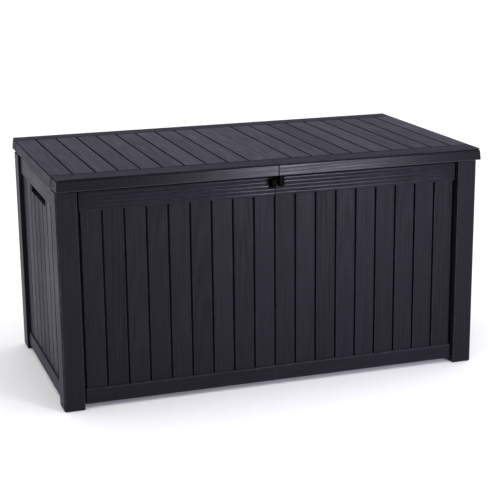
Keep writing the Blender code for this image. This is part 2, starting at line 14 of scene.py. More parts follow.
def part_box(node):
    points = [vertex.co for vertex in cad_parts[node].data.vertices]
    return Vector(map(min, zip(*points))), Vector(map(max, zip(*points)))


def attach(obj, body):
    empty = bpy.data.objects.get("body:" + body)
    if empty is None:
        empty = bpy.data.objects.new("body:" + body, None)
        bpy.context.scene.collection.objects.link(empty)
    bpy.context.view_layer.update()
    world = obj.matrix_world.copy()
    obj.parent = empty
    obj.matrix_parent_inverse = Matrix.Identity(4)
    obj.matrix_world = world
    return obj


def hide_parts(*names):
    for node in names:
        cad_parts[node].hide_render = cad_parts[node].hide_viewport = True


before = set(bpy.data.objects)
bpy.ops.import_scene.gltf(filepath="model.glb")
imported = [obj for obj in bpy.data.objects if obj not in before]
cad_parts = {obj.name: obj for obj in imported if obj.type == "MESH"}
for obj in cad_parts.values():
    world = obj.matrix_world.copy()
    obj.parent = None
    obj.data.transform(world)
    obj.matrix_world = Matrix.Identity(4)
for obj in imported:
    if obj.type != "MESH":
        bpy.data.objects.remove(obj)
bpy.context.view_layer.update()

bl_info = {
    "name": "Deck storage box",
    "version": (1, 0, 0),
    "blender": (4, 5, 0),
    "location": "View3D > Sidebar > Deck box",
    "description": "Builds the finished pieces of a resin deck storage box on its packed frame",
    "category": "Object",
}

SIDES = (("left", -1), ("right", 1))
ENDS = (("front", -1), ("back", 1))

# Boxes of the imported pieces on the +X side
LID_LOW, LID_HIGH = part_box("lid_right")
WALL_LOW, WALL_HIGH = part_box("back_panel_right")
SIDE_LOW, SIDE_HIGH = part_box("side_panel_right")
POST_LOW, POST_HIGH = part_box("corner_post_back_right")
FLOOR_LOW, FLOOR_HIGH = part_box("floor_right")
STRIP_LOW, STRIP_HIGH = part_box("back_joint_strip")

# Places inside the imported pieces
WEB_BACK = 0.002
WEB_THICK = 0.006
RAIL_TOP = 0.068
BAND_LOW = 0.666
BAND_TOP = 0.7285
RAIL_END = 0.007
PLANK_PITCH = 0.07325
PLANKS_LONG = 9
PLANK_SINK = 0.007
SIDE_PITCH = 0.075
PLANKS_SIDE = 8
SIDE_PLANK_SINK = 0.006
PLANK_GROOVE = 0.007
PLANK_GROOVE_DEEP = 0.013
SLOT_HALF = 0.130
SLOT_LOW = 0.636
SLOT_TOP = 0.661
FLOOR_PLATE_LOW = 0.022
FLOOR_RIBS = (0.20, 0.43, 0.65)
LID_WALL = 0.006
LID_PLATE = 0.008
LID_PITCH = 0.074
LID_PLANKS = 10
RIM_FRONT = -0.327
RIM_BACK = 0.334
RIM_HALF = 0.0032
STRUT_X = 0.684
STRUT_FOOT = (0.314, 0.5284)
STRUT_TILT = 31.0
STRUT_LENGTH = 0.2566

# What the visible pieces add
FINISH = "finish_"  # materials made here start with this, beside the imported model's own
PLANK_HIDDEN = 0.004  # how far planks run behind the rail and the band
LINING_SINK = 0.0008  # depth of the lines between planks on the inside
RIB_MARGIN = 0.030  # plain stretch of a ribbed band before the post
RIB_FADE_STEPS = 8
RIB_ARC_STEPS = 8
RIBS = 5
SLOT_ROUND = 0.0025
SLOT_ROUND_INSIDE = 0.6  # the slot's rounding inside the wall, as a share of the one outside
SEAM_ROUND = 0.0025
SEAM_HALF = 0.00003  # the halves meet this far from the middle
PAST_SEAM = -1.0  # a pad that runs on through the seam starts here
STEP = 0.00008  # how wide an upright step in a relief is
SHARP_ANGLE = 34.0
BEVEL_ANGLE = 40.0
FITTING_EDGE = 0.0005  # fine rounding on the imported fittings
PIN_EDGE = 0.0003
WELD_REACH = 0.00001
ARC_STEPS = 4

# Floor
FLOOR_LINES = 14
FLOOR_LINE_PITCH = 0.045
FLOOR_LINE_HALF = 0.0015
FLOOR_LINE_DEEP = 0.0010
FLOOR_LINE_ROUND = 0.0009
FLOOR_LINE_END = 0.30
FLOOR_RIB_HALF = 0.006
FLOOR_RIB_END = 0.010
FLOOR_RIB_ROUND = 0.001
FLOOR_EDGE_ROUND = 0.0015

# Joint strips
CLIPS = 6
CLIP_HALF = 0.012
CLIP_SHARE = 0.38  # width of a clip, as a share of the strip's
CLIP_SINK = 0.0003
CLIP_ROUND = 0.0008
CHANNEL_SHARE = 0.5
CHANNEL_DEEP = 0.002
CHANNEL_END = 0.025
CHANNEL_ROUND = 0.0006
STRIP_ROUND = 0.0012

# Lid. A groove runs round its upright face just under its top edge: each step is a distance in
# from the edge, and each level a depth under the top
EDGE_STEPS = (0.0, 0.00006, 0.00012, 0.00018)
EDGE_LEVELS = (0.0072, 0.0068, 0.0035, 0.0032)
EDGE_SINK = 0.0038
LEAN_REACH = 0.04  # the skirt leans from this far inside the edge
LID_FOOT_ROUND = 0.002
PLANK_SHOULDER = 0.0008
RIM_SHOULDER = 0.0010
RIM_DEEP = 0.0045
RIM_SIDE_SINK = 0.0018  # how far the rims' grooves cut into the lid's ends
UNDER_RIBS = (-0.155, -0.010, 0.135)
UNDER_RIB_X = (0.045, 0.620)
UNDER_RIB_Y = (-0.24, 0.22)
UNDER_RIB_HALF = 0.0018
UNDER_RIB_ROUND = 0.0005

# Lock eyes: the hole's middle in Y and Z
EYE = (-0.391, 0.712)
EYE_R = 0.012
EYE_HOLE = 0.005
EYE_HALF = 0.009
EYE_ASIDE = 0.0125
EYE_ROUND = 0.0025
EYE_ROOT = 0.0032  # the wall eye's tab starts this far before its base plate's back
EYE_LIP = 0.001  # the tab's straight edges lie this far inside its round end
EYE_GAP = 0.0003  # between the skirt, the lid eye's base plate and its tab
EYE_TOP_GAP = 0.002
EYE_TOP_REACH = 0.006  # from the skirt to the tab's upper corner
EYE_SHOULDER = 0.005  # height over the skirt's foot where the tab starts to narrow
EYE_FOOT = 0.0025  # height of the lid eye's base plate over the skirt's foot
EYE_BASE_MARGIN = 0.0012
EYE_BASE_THICK = 0.004
EYE_BASE_CORNER = 0.004
EYE_BASE_ROUND = 0.0008
EYE_ARC_STEPS = 16
DRILL_HALF = 0.012

# Hinge screws
SHANK_R = 0.0019
HEAD_TALL = 0.0024
HEAD_RIM = 0.0007
HEAD_DOME = 0.0016
HEAD_TURNS = (0.35, 0.7, 1.05, 1.35)  # angles of the points along the dome
HEAD_STEPS = 32
RECESS = (0.0022, 0.0004)  # half the length and half the width of one slot
RECESS_DEEP = 0.0013
RECESS_PAST = 0.002
RECESS_ROUND = (0.0002, 0.0001)
RECESS_TURN = 20

# Struts: profiles of (radius, distance from the lower pivot)
STRUT_EYE_HALF = 0.004
TUBE_EYE_R, TUBE_EYE_ROUND = 0.010, 0.0012
ROD_EYE_R, ROD_EYE_ROUND = 0.011, 0.0014
CAP_R, CAP_ROUND = 0.0065, 0.0008
CAP_SPAN = (0.003, 0.007)  # from the middle of the rod's eye towards the box's middle
TUBE_BORE = 0.0043
TUBE_PROFILE = (
    (0.0, 0.0075), (0.0038, 0.0075), (0.0038, 0.0118), (0.0056, 0.0125), (0.0074, 0.0135),
    (0.0086, 0.0150), (0.0090, 0.0172), (0.0090, 0.1930), (0.0087, 0.1945), (0.0080, 0.1955),
    (0.0080, 0.1965), (0.0087, 0.1975), (0.0090, 0.1990), (0.0090, 0.2030), (0.0086, 0.2043),
    (0.0078, 0.2050), (0.0052, 0.2050), (TUBE_BORE, 0.2040), (TUBE_BORE, 0.0340), (0.0, 0.0340),
)
ROD_PROFILE = ((0.0, 0.0390), (0.0034, 0.0390), (0.0040, 0.0396), (0.0040, 0.2330), (0.0, 0.2330))
NECK_PROFILE = (
    (0.0, 0.2240), (0.0052, 0.2240), (0.0060, 0.2248), (0.0060, 0.2310), (0.0042, 0.2340),
    (0.0042, 0.2490), (0.0, 0.2490),
)

# Board numbers. The planks count from 0
RAIL = 100
RIBBED_BAND = 101
PLAIN_BAND = 102
RIMS = (110, 111)  # the lid's front and back rims: rougher, and painted darker as shade
SKIRTS = (120, 121)  # the lid's skirt: front and back, then the ends
SMOOTH = (RIBBED_BAND, SKIRTS[0])  # boards with a smoother surface

PALE_DUST = (0.30, 0.29, 0.27)

# How the grain lies on the boards. The seeds keep each kind of piece to its own draws
POST_SEED = 3
LONG_SEED = 11
SIDE_SEED = 31
LID_SEED = 51
# The rims' tone gives a rougher finish, and a darker colour painted as shade
RIM_TONE = -4.0
GRAIN_SHIFT = 0.8  # how far a board's grain may be moved along it
GRAIN_ASIDE = 0.018  # and across it
GRAIN_APART = 1.37  # distance between two boards' places in the grain
GRAIN_WANDER = 0.020  # how far the streaks wander sideways
RING_SQUEEZE = 0.055  # the arched figure is drawn out along the board by this
PORE_SHARE = 0.35
EDGE_SLANT = 0.17  # slant of a face that counts as an edge


# Grids and reliefs


def quarter_round(radius):
    """Points round a quarter circle: how far in and how far up each one lies."""
    turns = [math.radians(90 * i / ARC_STEPS) for i in range(ARC_STEPS + 1)]
    return [(radius * (1 - math.sin(turn)), radius * (1 - math.cos(turn))) for turn in turns]


def arc_steps(radius):
    """Distances from an edge where a rounding of this radius needs a grid line."""
    return [up for _, up in quarter_round(radius)]


def pad_lines(low, high, radius):
    """Grid lines for a raised pad from low to high with rounded edges."""
    lines = [low - STEP, high + STEP]
    for step in arc_steps(radius):
        lines += [low + step, high - step]
    return lines


def groove_lines(middle, half, radius):
    """Grid lines for a groove with rounded shoulders."""
    lines = [middle - half + STEP, middle + half - STEP]
    for step in arc_steps(radius):
        lines += [middle - half - step, middle + half + step]
    return lines


def grid_lines(low, high, wanted):
    """Sorted lines from low to high, none closer together than half a step."""
    kept = [low]
    for line in sorted(wanted):
        if kept[-1] + STEP / 2 < line < high - STEP / 2:
            kept.append(line)
    return np.array(kept + [high])


def pad(u, v, low, high, level, radius):
    """Height of a raised pad with rounded edges, and -1 outside it."""
    in_u = np.minimum(u - low[0], high[0] - u)
    in_v = np.minimum(v - low[1], high[1] - v)
    over_u = np.clip(radius - in_u, 0, None)
    over_v = np.clip(radius - in_v, 0, None)
    left = radius ** 2 - over_u ** 2 - over_v ** 2
    height = level - radius + np.sqrt(np.clip(left, 0, None))
    fuzz = STEP / 100
    return np.where((in_u > -fuzz) & (in_v > -fuzz), height, -1.0)


def edge_drop(inside, radius):
    """How far a surface drops at this distance inside a rounded edge."""
    over = np.clip(radius - inside, 0, radius)
    return radius - np.sqrt(radius ** 2 - over ** 2)


def groove_drop(place, middle, half, deep, radius):
    """Depth of a groove with rounded shoulders at these places."""
    away = np.abs(place - middle) - half
    shoulder = edge_drop(np.clip(away, 0, None), radius)
    return np.where(away < -STEP / 2, deep, shoulder)


def relief_mesh(name, us, vs, front, back, place, holes=(), back_material=1):
    """A closed mesh between two gridded faces. Faces of the back get their own material.

    place turns arrays of u, v and height into x, y and z. A hole is (low, high) in (u, v).
    """
    count_u, count_v = len(us), len(vs)
    grid_u, grid_v = np.meshgrid(us, vs, indexing="ij")
    points = []
    for height in (front, back):
        places = place(grid_u, grid_v, height)
        points.append(np.stack([np.ravel(axis) for axis in places], axis=1))
    solid = np.zeros((count_u + 1, count_v + 1), bool)
    solid[1:count_u, 1:count_v] = True
    mid_u = (us[:-1] + us[1:]) / 2
    mid_v = (vs[:-1] + vs[1:]) / 2
    for low, high in holes:
        open_u = (mid_u > low[0]) & (mid_u < high[0])
        open_v = (mid_v > low[1]) & (mid_v < high[1])
        solid[1:count_u, 1:count_v] &= ~(open_u[:, None] & open_v[None, :])
    far = count_u * count_v
    faces, kinds = [], []
    for i in range(count_u):
        for j in range(count_v):
            a = i * count_v + j
            b, c, d = a + count_v, a + count_v + 1, a + 1
            if solid[i + 1, j + 1]:
                faces += [(a, b, c, d), (a + far, d + far, c + far, b + far)]
                kinds += [0, back_material]
            if solid[i, j + 1] != solid[i + 1, j + 1]:
                faces.append((a, d, d + far, a + far))
                kinds.append(0)
            if solid[i + 1, j] != solid[i + 1, j + 1]:
                faces.append((a, b, b + far, a + far))
                kinds.append(0)
    mesh = bpy.data.meshes.new(name)
    mesh.from_pydata(np.concatenate(points).tolist(), [], faces)
    mesh.polygons.foreach_set("material_index", kinds)
    bm = bmesh.new()
    bm.from_mesh(mesh)
    bmesh.ops.delete(bm, geom=[v for v in bm.verts if not v.link_faces], context="VERTS")
    bmesh.ops.recalc_face_normals(bm, faces=bm.faces)
    bm.to_mesh(mesh)
    bm.free()
    return mesh


def round_corners(points, rounding):
    """A closed outline with its corners rounded. rounding is a radius or one per corner."""
    radii = rounding if isinstance(rounding, (list, tuple)) else [rounding] * len(points)
    made = []
    for i, (point, radius) in enumerate(zip(points, radii)):
        here = Vector(point)
        before = Vector(points[i - 1]) - here
        after = Vector(points[(i + 1) % len(points)]) - here
        if radius <= 0:
            made.append(here)
            continue
        angle = before.angle(after)
        reach = radius / math.tan(angle / 2)
        start = here + before.normalized() * reach
        end = here + after.normalized() * reach
        bisector = (before.normalized() + after.normalized()).normalized()
        centre = here + bisector * (radius / math.sin(angle / 2))
        for k in range(ARC_STEPS + 1):
            part = (start - centre).lerp(end - centre, k / ARC_STEPS)
            made.append(centre + part.normalized() * radius)
    return made


def inset_outline(points, amount):
    """An outline moved inwards by amount. The points run anticlockwise."""
    made = []
    for i, here in enumerate(points):
        before = (here - points[i - 1]).normalized()
        after = (points[(i + 1) % len(points)] - here).normalized()
        normal = Vector((-before.y - after.y, before.x + after.x)).normalized()
        spread = max(0.5, Vector((-before.y, before.x)).dot(normal))
        made.append(here + normal * (amount / spread))
    return made


def mesh_of(name, bm):
    """A mesh of the built faces, with their normals outwards."""
    bmesh.ops.recalc_face_normals(bm, faces=bm.faces)
    mesh = bpy.data.meshes.new(name)
    bm.to_mesh(mesh)
    bm.free()
    return mesh


def loft_mesh(name, rings, place):
    """A closed mesh through rings of equal length. place turns (a, b, height) into x, y, z."""
    bm = bmesh.new()
    rows = []
    for ring, height in rings:
        rows.append([bm.verts.new(place(point[0], point[1], height)) for point in ring])
    count = len(rows[0])
    for low, high in zip(rows, rows[1:]):
        for i in range(count):
            bm.faces.new((low[i - 1], low[i], high[i], high[i - 1]))
    bm.faces.new(list(reversed(rows[0])))
    bm.faces.new(rows[-1])
    return mesh_of(name, bm)


def rounded_prism(name, outline, low, high, rounding, place):
    """An outline raised from low to high. rounding is (lower rim, upper rim)."""
    foot, crown = [quarter_round(radius) for radius in rounding]
    rings = [(inset_outline(outline, inward), low + up) for inward, up in foot]
    rings += [(inset_outline(outline, inward), high - up) for inward, up in reversed(crown)]
    return loft_mesh(name, rings, place)


def turned_mesh(name, profile, steps=40):
    """A profile of (radius, height) turned about Z. It starts and ends on the axis."""
    bm = bmesh.new()
    low = bm.verts.new((0.0, 0.0, profile[0][1]))
    high = bm.verts.new((0.0, 0.0, profile[-1][1]))
    rows = []
    for radius, height in profile[1:-1]:
        turns = [2 * math.pi * i / steps for i in range(steps)]
        rows.append([bm.verts.new((radius * math.cos(t), radius * math.sin(t), height)) for t in turns])
    for i in range(steps):
        bm.faces.new((low, rows[0][i], rows[0][i - 1]))
        bm.faces.new((high, rows[-1][i - 1], rows[-1][i]))
        for below, above in zip(rows, rows[1:]):
            bm.faces.new((below[i - 1], below[i], above[i], above[i - 1]))
    return mesh_of(name, bm)


def joined_mesh(name, meshes):
    """One mesh of several, each with its own matrix: [(mesh, matrix), ...]."""
    bm = bmesh.new()
    for mesh, matrix in meshes:
        mesh.transform(matrix)
        bm.from_mesh(mesh)
        bpy.data.meshes.remove(mesh)
    made = bpy.data.meshes.new(name)
    bm.to_mesh(made)
    bm.free()
    return made


def cut_mesh(mesh, cutters):
    """The mesh less the cutters, by an exact Boolean."""
    holder = bpy.data.objects.new("being_cut", mesh)
    bpy.context.scene.collection.objects.link(holder)
    tools = []
    for cutter in cutters:
        tool = bpy.data.objects.new("cutter", cutter)
        bpy.context.scene.collection.objects.link(tool)
        tools.append(tool)
        modifier = holder.modifiers.new("cut", "BOOLEAN")
        modifier.operation = "DIFFERENCE"
        modifier.solver = "EXACT"
        modifier.object = tool
    bpy.context.view_layer.update()
    graph = bpy.context.evaluated_depsgraph_get()
    made = bpy.data.meshes.new_from_object(holder.evaluated_get(graph))
    for obj in [holder, *tools]:
        bpy.data.objects.remove(obj)
    return made


# Surface data that the resin's grain reads


def face_array(mesh, field, width=3):
    """One row of numbers for each face."""
    values = np.zeros(len(mesh.polygons) * width)
    mesh.polygons.foreach_get(field, values)
    return values.reshape(-1, width)


def lay_boards(mesh, boards, seed):
    """Stores where each face lies on its board, the board's tone and the rounded edges.

    boards turns face centres into (axis that the grain runs along, board number).
    """
    centres = face_array(mesh, "center")
    slant = 1 - np.abs(face_array(mesh, "normal")).max(axis=1)
    axis, board = boards(centres)
    numbers, board = np.unique(board, return_inverse=True)
    generator = np.random.default_rng(seed)
    tone = generator.uniform(-1, 1, len(numbers))
    # The rims get the darkest, roughest tone: their darker colour is painted shade
    tone[np.isin(numbers, RIMS)] = RIM_TONE
    shift = generator.uniform(-GRAIN_SHIFT, GRAIN_SHIFT, len(numbers))
    aside = generator.uniform(-GRAIN_ASIDE, GRAIN_ASIDE, len(numbers))
    corners = np.zeros(len(mesh.loops), int)
    mesh.loops.foreach_get("vertex_index", corners)
    owner = np.repeat(np.arange(len(mesh.polygons)), face_array(mesh, "loop_total", 1)[:, 0].astype(int))
    points = np.zeros(len(mesh.vertices) * 3)
    mesh.vertices.foreach_get("co", points)
    points = points.reshape(-1, 3)[corners]
    along = points[np.arange(len(points)), axis[owner]]
    across = points.sum(axis=1) - along
    face_across = centres.sum(axis=1) - centres[np.arange(len(centres)), axis]
    low = np.full(len(numbers), np.inf)
    high = -low
    np.minimum.at(low, board, face_across)
    np.maximum.at(high, board, face_across)
    which = board[owner]
    across = across - ((low + high) / 2 + aside)[which]
    place = np.stack([along + shift[which], across, which * GRAIN_APART + seed], axis=1)
    stored = mesh.attributes.new("grain_place", "FLOAT_VECTOR", "CORNER")
    stored.data.foreach_set("vector", place.astype(np.float32).ravel())
    shine = np.isin(numbers, SMOOTH)[board]
    edge = np.clip(slant / EDGE_SLANT, 0, 1)
    for label, values in (("board_tone", tone[board]), ("shine", shine), ("edge", edge)):
        stored = mesh.attributes.new(label, "FLOAT", "FACE")
        stored.data.foreach_set("value", values.astype(np.float32))


def even_normals(obj):
    even = obj.modifiers.new("even_normals", "WEIGHTED_NORMAL")
    even.keep_sharp = True


def finish_piece(name, mesh, body, *materials):
    """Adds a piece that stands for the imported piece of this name, and sets it on its body."""
    mesh.name = "finished_" + name
    obj = bpy.data.objects.new("finished_" + name, mesh)
    bpy.context.scene.collection.objects.link(obj)
    for key in materials:
        obj.data.materials.append(bpy.data.materials[FINISH + key])
    mesh.polygons.foreach_set("use_smooth", [True] * len(mesh.polygons))
    mesh.set_sharp_from_angle(angle=math.radians(SHARP_ANGLE))
    even_normals(obj)
    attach(obj, body)
    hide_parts(name)


def refine_node(name, material, edge):
    """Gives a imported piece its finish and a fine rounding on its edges."""
    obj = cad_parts[name]
    for slot in obj.material_slots:
        slot.material = bpy.data.materials[FINISH + material]
    weld = obj.modifiers.new("weld", "WELD")
    weld.merge_threshold = WELD_REACH
    bevel = obj.modifiers.new("edges", "BEVEL")
    bevel.width = edge
    bevel.segments = 2
    bevel.limit_method = "ANGLE"
    bevel.angle_limit = math.radians(BEVEL_ANGLE)
    even_normals(obj)


# Node trees


def add_node(tree, kind, inputs=None, **settings):
    """Adds a node, sets it, and fills its inputs with values or links."""
    node = tree.nodes.new(kind)
    for key, value in settings.items():
        setattr(node, key, value)
    for key, value in (inputs or {}).items():
        if isinstance(value, bpy.types.NodeSocket):
            tree.links.new(value, node.inputs[key])
        else:
            node.inputs[key].default_value = value
    return node


def maths(tree, operation, first, second=0.0, third=0.0):
    inputs = {0: first, 1: second, 2: third}
    return add_node(tree, "ShaderNodeMath", inputs, operation=operation).outputs[0]


def vector_of(tree, x, y, z):
    return add_node(tree, "ShaderNodeCombineXYZ", {0: x, 1: y, 2: z}).outputs[0]


def noise(tree, vector, scale=1.0, detail=2.0, roughness=0.5):
    inputs = {"Vector": vector, "Scale": scale, "Detail": detail, "Roughness": roughness}
    return add_node(tree, "ShaderNodeTexNoise", inputs).outputs["Fac"]


def spread(tree, value, low, high, to_low=0.0, to_high=1.0):
    """Maps low..high to to_low..to_high, clamped."""
    inputs = {"Value": value, "From Min": low, "From Max": high, "To Min": to_low, "To Max": to_high}
    return add_node(tree, "ShaderNodeMapRange", inputs).outputs[0]


def blend_colours(tree, factor, first, second):
    """A mix of two colours. Each is a socket or three numbers."""
    ends = []
    for colour in (first, second):
        ends.append(colour if isinstance(colour, bpy.types.NodeSocket) else (*colour, 1.0))
    mix = add_node(tree, "ShaderNodeMix", {0: factor, 6: ends[0], 7: ends[1]}, data_type="RGBA")
    return mix.outputs[2]


def new_group(name, inputs, outputs):
    """A node group with named sockets, and its input and output nodes."""
    tree = bpy.data.node_groups.new(name, "ShaderNodeTree")
    for label, kind, value in inputs:
        socket = tree.interface.new_socket(label, in_out="INPUT", socket_type="NodeSocket" + kind)
        if kind == "Float":
            socket.default_value = value
    for label in outputs:
        tree.interface.new_socket(label, in_out="OUTPUT", socket_type="NodeSocketFloat")
    return tree, tree.nodes.new("NodeGroupInput").outputs, tree.nodes.new("NodeGroupOutput").inputs


def board_grain_group():
    """Embossed wood grain: long streaks, arched figure and fine pores along a board."""
    inputs = [("Place", "Vector", 0), ("Streaks", "Float", 1.0), ("Figure", "Float", 0.5)]
    tree, given, wanted = new_group("board_grain", inputs, ["Tone", "Height"])
    along, across, seed = add_node(tree, "ShaderNodeSeparateXYZ", {0: given["Place"]}).outputs

    def stretched_noise(place_across, per_metre_along, per_metre_across, detail=1.0):
        along_it = maths(tree, "MULTIPLY", along, per_metre_along)
        across_it = maths(tree, "MULTIPLY", place_across, per_metre_across)
        return noise(tree, vector_of(tree, along_it, across_it, seed), detail=detail)

    def centred(value):
        return maths(tree, "SUBTRACT", value, 0.5)

    wander = centred(stretched_noise(across, 2.2, 5.0))
    across = maths(tree, "MULTIPLY_ADD", wander, GRAIN_WANDER, across)
    streak = stretched_noise(across, 3.0, 240.0, 2.5)
    pores = stretched_noise(across, 26.0, 900.0)
    squeezed = vector_of(tree, maths(tree, "MULTIPLY", along, RING_SQUEEZE), across, 0.0)
    waves = {"Vector": squeezed, "Scale": 27.0, "Distortion": 1.6, "Detail": 2.0, "Detail Scale": 0.7}
    rings = add_node(tree, "ShaderNodeTexWave", waves, wave_type="RINGS", rings_direction="SPHERICAL")
    patches = stretched_noise(across, 5.0, 12.0)
    figure = maths(tree, "MULTIPLY", centred(rings.outputs["Fac"]), spread(tree, patches, 0.35, 0.65))
    streaks = maths(tree, "MULTIPLY", spread(tree, streak, 0.30, 0.70, -0.5, 0.5), given["Streaks"])
    tone = maths(tree, "MULTIPLY_ADD", figure, given["Figure"], streaks)
    tone = maths(tree, "MULTIPLY_ADD", centred(pores), PORE_SHARE, tone)
    clamped = spread(tree, tone, -0.7, 0.7)
    tree.links.new(clamped, wanted["Tone"])
    tree.links.new(clamped, wanted["Height"])


def mould_texture_group():
    """The fine stipple and slow mottling of moulded or painted surfaces."""
    inputs = [("Place", "Vector", 0), ("Grain", "Float", 700.0), ("Patches", "Float", 9.0)]
    tree, given, wanted = new_group("mould_texture", inputs, ["Mottle", "Height"])
    fine = noise(tree, given["Place"], given["Grain"], 2.0, 0.6)
    slow = noise(tree, given["Place"], given["Patches"], 4.0, 0.6)
    tree.links.new(spread(tree, slow, 0.3, 0.7), wanted["Mottle"])
    tree.links.new(maths(tree, "MULTIPLY_ADD", slow, 0.4, fine), wanted["Height"])


def edge_wear_and_highlight_group():
    """A mask of rubbed edges, which also paints a highlight along them, broken up along their length."""
    tree, given, wanted = new_group("edge_wear_and_highlight", [("Place", "Vector", 0), ("Edge", "Float", 0.0)], ["Mask"])
    broken = spread(tree, noise(tree, given["Place"], 30.0, 3.0), 0.35, 0.65, 0.25, 1.0)
    tree.links.new(maths(tree, "MULTIPLY", given["Edge"], broken), wanted["Mask"])


def settled_dust_group():
    """A thin, patchy film of dust on faces that look up."""
    tree, given, wanted = new_group("settled_dust", [("Place", "Vector", 0), ("Up", "Float", 0.0)], ["Mask"])
    clouds = spread(tree, noise(tree, given["Place"], 5.0, 5.0, 0.65), 0.35, 0.75)
    specks = spread(tree, noise(tree, given["Place"], 260.0, 1.0), 0.45, 0.8)
    film = maths(tree, "MULTIPLY_ADD", specks, 0.5, clouds)
    tree.links.new(maths(tree, "MULTIPLY", spread(tree, given["Up"], 0.3, 1.0), film), wanted["Mask"])


def brushed_metal_group():
    """Drawn or plated metal: lines along X and a slow change of tone."""
    inputs = [("Place", "Vector", 0), ("Lines", "Float", 900.0)]
    tree, given, wanted = new_group("brushed_metal", inputs, ["Tone", "Height"])
    x, y, z = add_node(tree, "ShaderNodeSeparateXYZ", {0: given["Place"]}).outputs
    drawn = vector_of(tree, maths(tree, "MULTIPLY", x, 0.03), y, z)
    lines = noise(tree, drawn, given["Lines"], 2.0)
    cloud = noise(tree, given["Place"], 40.0, 3.0)
    tree.links.new(spread(tree, maths(tree, "ADD", lines, cloud), 0.7, 1.3), wanted["Tone"])
    tree.links.new(lines, wanted["Height"])


def place_group(tree, name, inputs):
    """Places a node group in a material with its own values."""
    return add_node(tree, "ShaderNodeGroup", inputs, node_tree=bpy.data.node_groups[name]).outputs


def new_material(name):
    """A material with an empty Principled shader. Returns its tree and the shader."""
    made = bpy.data.materials.new(FINISH + name)
    made.use_nodes = True
    return made.node_tree, made.node_tree.nodes["Principled BSDF"]


def attribute(tree, name):
    return add_node(tree, "ShaderNodeAttribute", attribute_name=name).outputs


def connect(tree, shader, colour, rough, height, distance, strength):
    """Feeds a shader's colour and roughness, and its normal from a bump."""
    tree.links.new(colour, shader.inputs["Base Color"])
    tree.links.new(rough, shader.inputs["Roughness"])
    bump = add_node(tree, "ShaderNodeBump", {"Height": height, "Distance": distance, "Strength": strength})
    tree.links.new(bump.outputs[0], shader.inputs["Normal"])


def resin_layers(tree, grain, patches):
    """What every resin has: the mould's texture, the mask of rubbed edges with a painted highlight on them,
    and the mask of dust.
    """
    where = add_node(tree, "ShaderNodeTexCoord").outputs
    place = where["Object"]
    up = add_node(tree, "ShaderNodeSeparateXYZ", {0: where["Normal"]}).outputs[2]
    mould = place_group(tree, "mould_texture", {"Place": place, "Grain": grain, "Patches": patches})
    # The edge mask marks rubbed wear and a painted highlight along the edges
    wear_and_highlight = place_group(tree, "edge_wear_and_highlight", {"Place": place, "Edge": attribute(tree, "edge")["Fac"]})
    dust = place_group(tree, "settled_dust", {"Place": place, "Up": up})
    return mould, wear_and_highlight["Mask"], dust["Mask"]


def graphite_resin(looks):
    """Outer resin with embossed wood grain, rubbed edges lightened as a painted highlight, and a little dust.
    """
    tree, shader = new_material("graphite_resin")
    place = attribute(tree, "grain_place")["Vector"]
    inputs = {"Place": place, "Streaks": looks.grain_streaks, "Figure": looks.grain_figure}
    grain = place_group(tree, "board_grain", inputs)
    mould, wear_and_highlight, dust = resin_layers(tree, 900.0, 6.0)
    board = maths(tree, "MULTIPLY", attribute(tree, "board_tone")["Fac"], looks.board_contrast)
    tone = maths(tree, "MULTIPLY_ADD", mould["Mottle"], 0.12, maths(tree, "ADD", grain["Tone"], board))
    colour = blend_colours(tree, tone, looks.resin_deep, looks.resin_pale)
    # Lighter edges: rubbed wear, and a painted highlight along them
    colour = blend_colours(tree, maths(tree, "MULTIPLY", wear_and_highlight, looks.edge_wear_and_highlight), colour, looks.edge_wear_and_highlight_colour)
    dusty = maths(tree, "MULTIPLY", dust, looks.dust_amount)
    colour = blend_colours(tree, dusty, colour, looks.dust_colour)
    rough = maths(tree, "MULTIPLY_ADD", dusty, 0.5, spread(tree, tone, -0.5, 1.1, 0.80, 0.28))
    rough = maths(tree, "MULTIPLY_ADD", attribute(tree, "shine")["Fac"], -looks.band_shine, rough)
    height = maths(tree, "MULTIPLY_ADD", mould["Height"], 0.12, grain["Height"])
    connect(tree, shader, colour, rough, height, 0.0007, looks.grain_depth)
    shader.inputs["Specular IOR Level"].default_value = looks.resin_gloss
    shader.inputs["Sheen Weight"].default_value = looks.resin_bloom
    shader.inputs["Sheen Roughness"].default_value = 0.35
    shader.inputs["Sheen Tint"].default_value = (*looks.resin_sheen, 1.0)


def scaled(colour, factor):
    return [factor * value for value in colour]


def plain_resin(name, deep, pale, roughness, gloss):
    """Moulded resin without grain: stipple, mottling and a dust film."""
    tree, shader = new_material(name)
    mould, wear_and_highlight, dust = resin_layers(tree, 650.0, 8.0)
    colour = blend_colours(tree, mould["Mottle"], deep, pale)
    # Lighter edges: rubbed wear, and a painted highlight along them
    colour = blend_colours(tree, maths(tree, "MULTIPLY", wear_and_highlight, 0.5), colour, scaled(pale, 1.8))
    colour = blend_colours(tree, maths(tree, "MULTIPLY", dust, 0.05), colour, PALE_DUST)
    rough = spread(tree, mould["Mottle"], 0.0, 1.0, roughness - 0.05, roughness + 0.06)
    connect(tree, shader, colour, rough, mould["Height"], 0.0003, 0.5)
    shader.inputs["Specular IOR Level"].default_value = gloss


def metal(name, pale, deep_share, roughness, lines, depth):
    """Plated or drawn metal. The deep tone is a share of the pale one."""
    tree, shader = new_material(name)
    where = add_node(tree, "ShaderNodeTexCoord").outputs["Object"]
    brushed = place_group(tree, "brushed_metal", {"Place": where, "Lines": lines})
    colour = blend_colours(tree, brushed["Tone"], scaled(pale, deep_share), pale)
    rough = spread(tree, brushed["Tone"], 0.0, 1.0, roughness + 0.05, roughness - 0.04)
    connect(tree, shader, colour, rough, brushed["Height"], 0.0001, depth)
    shader.inputs["Metallic"].default_value = 1.0


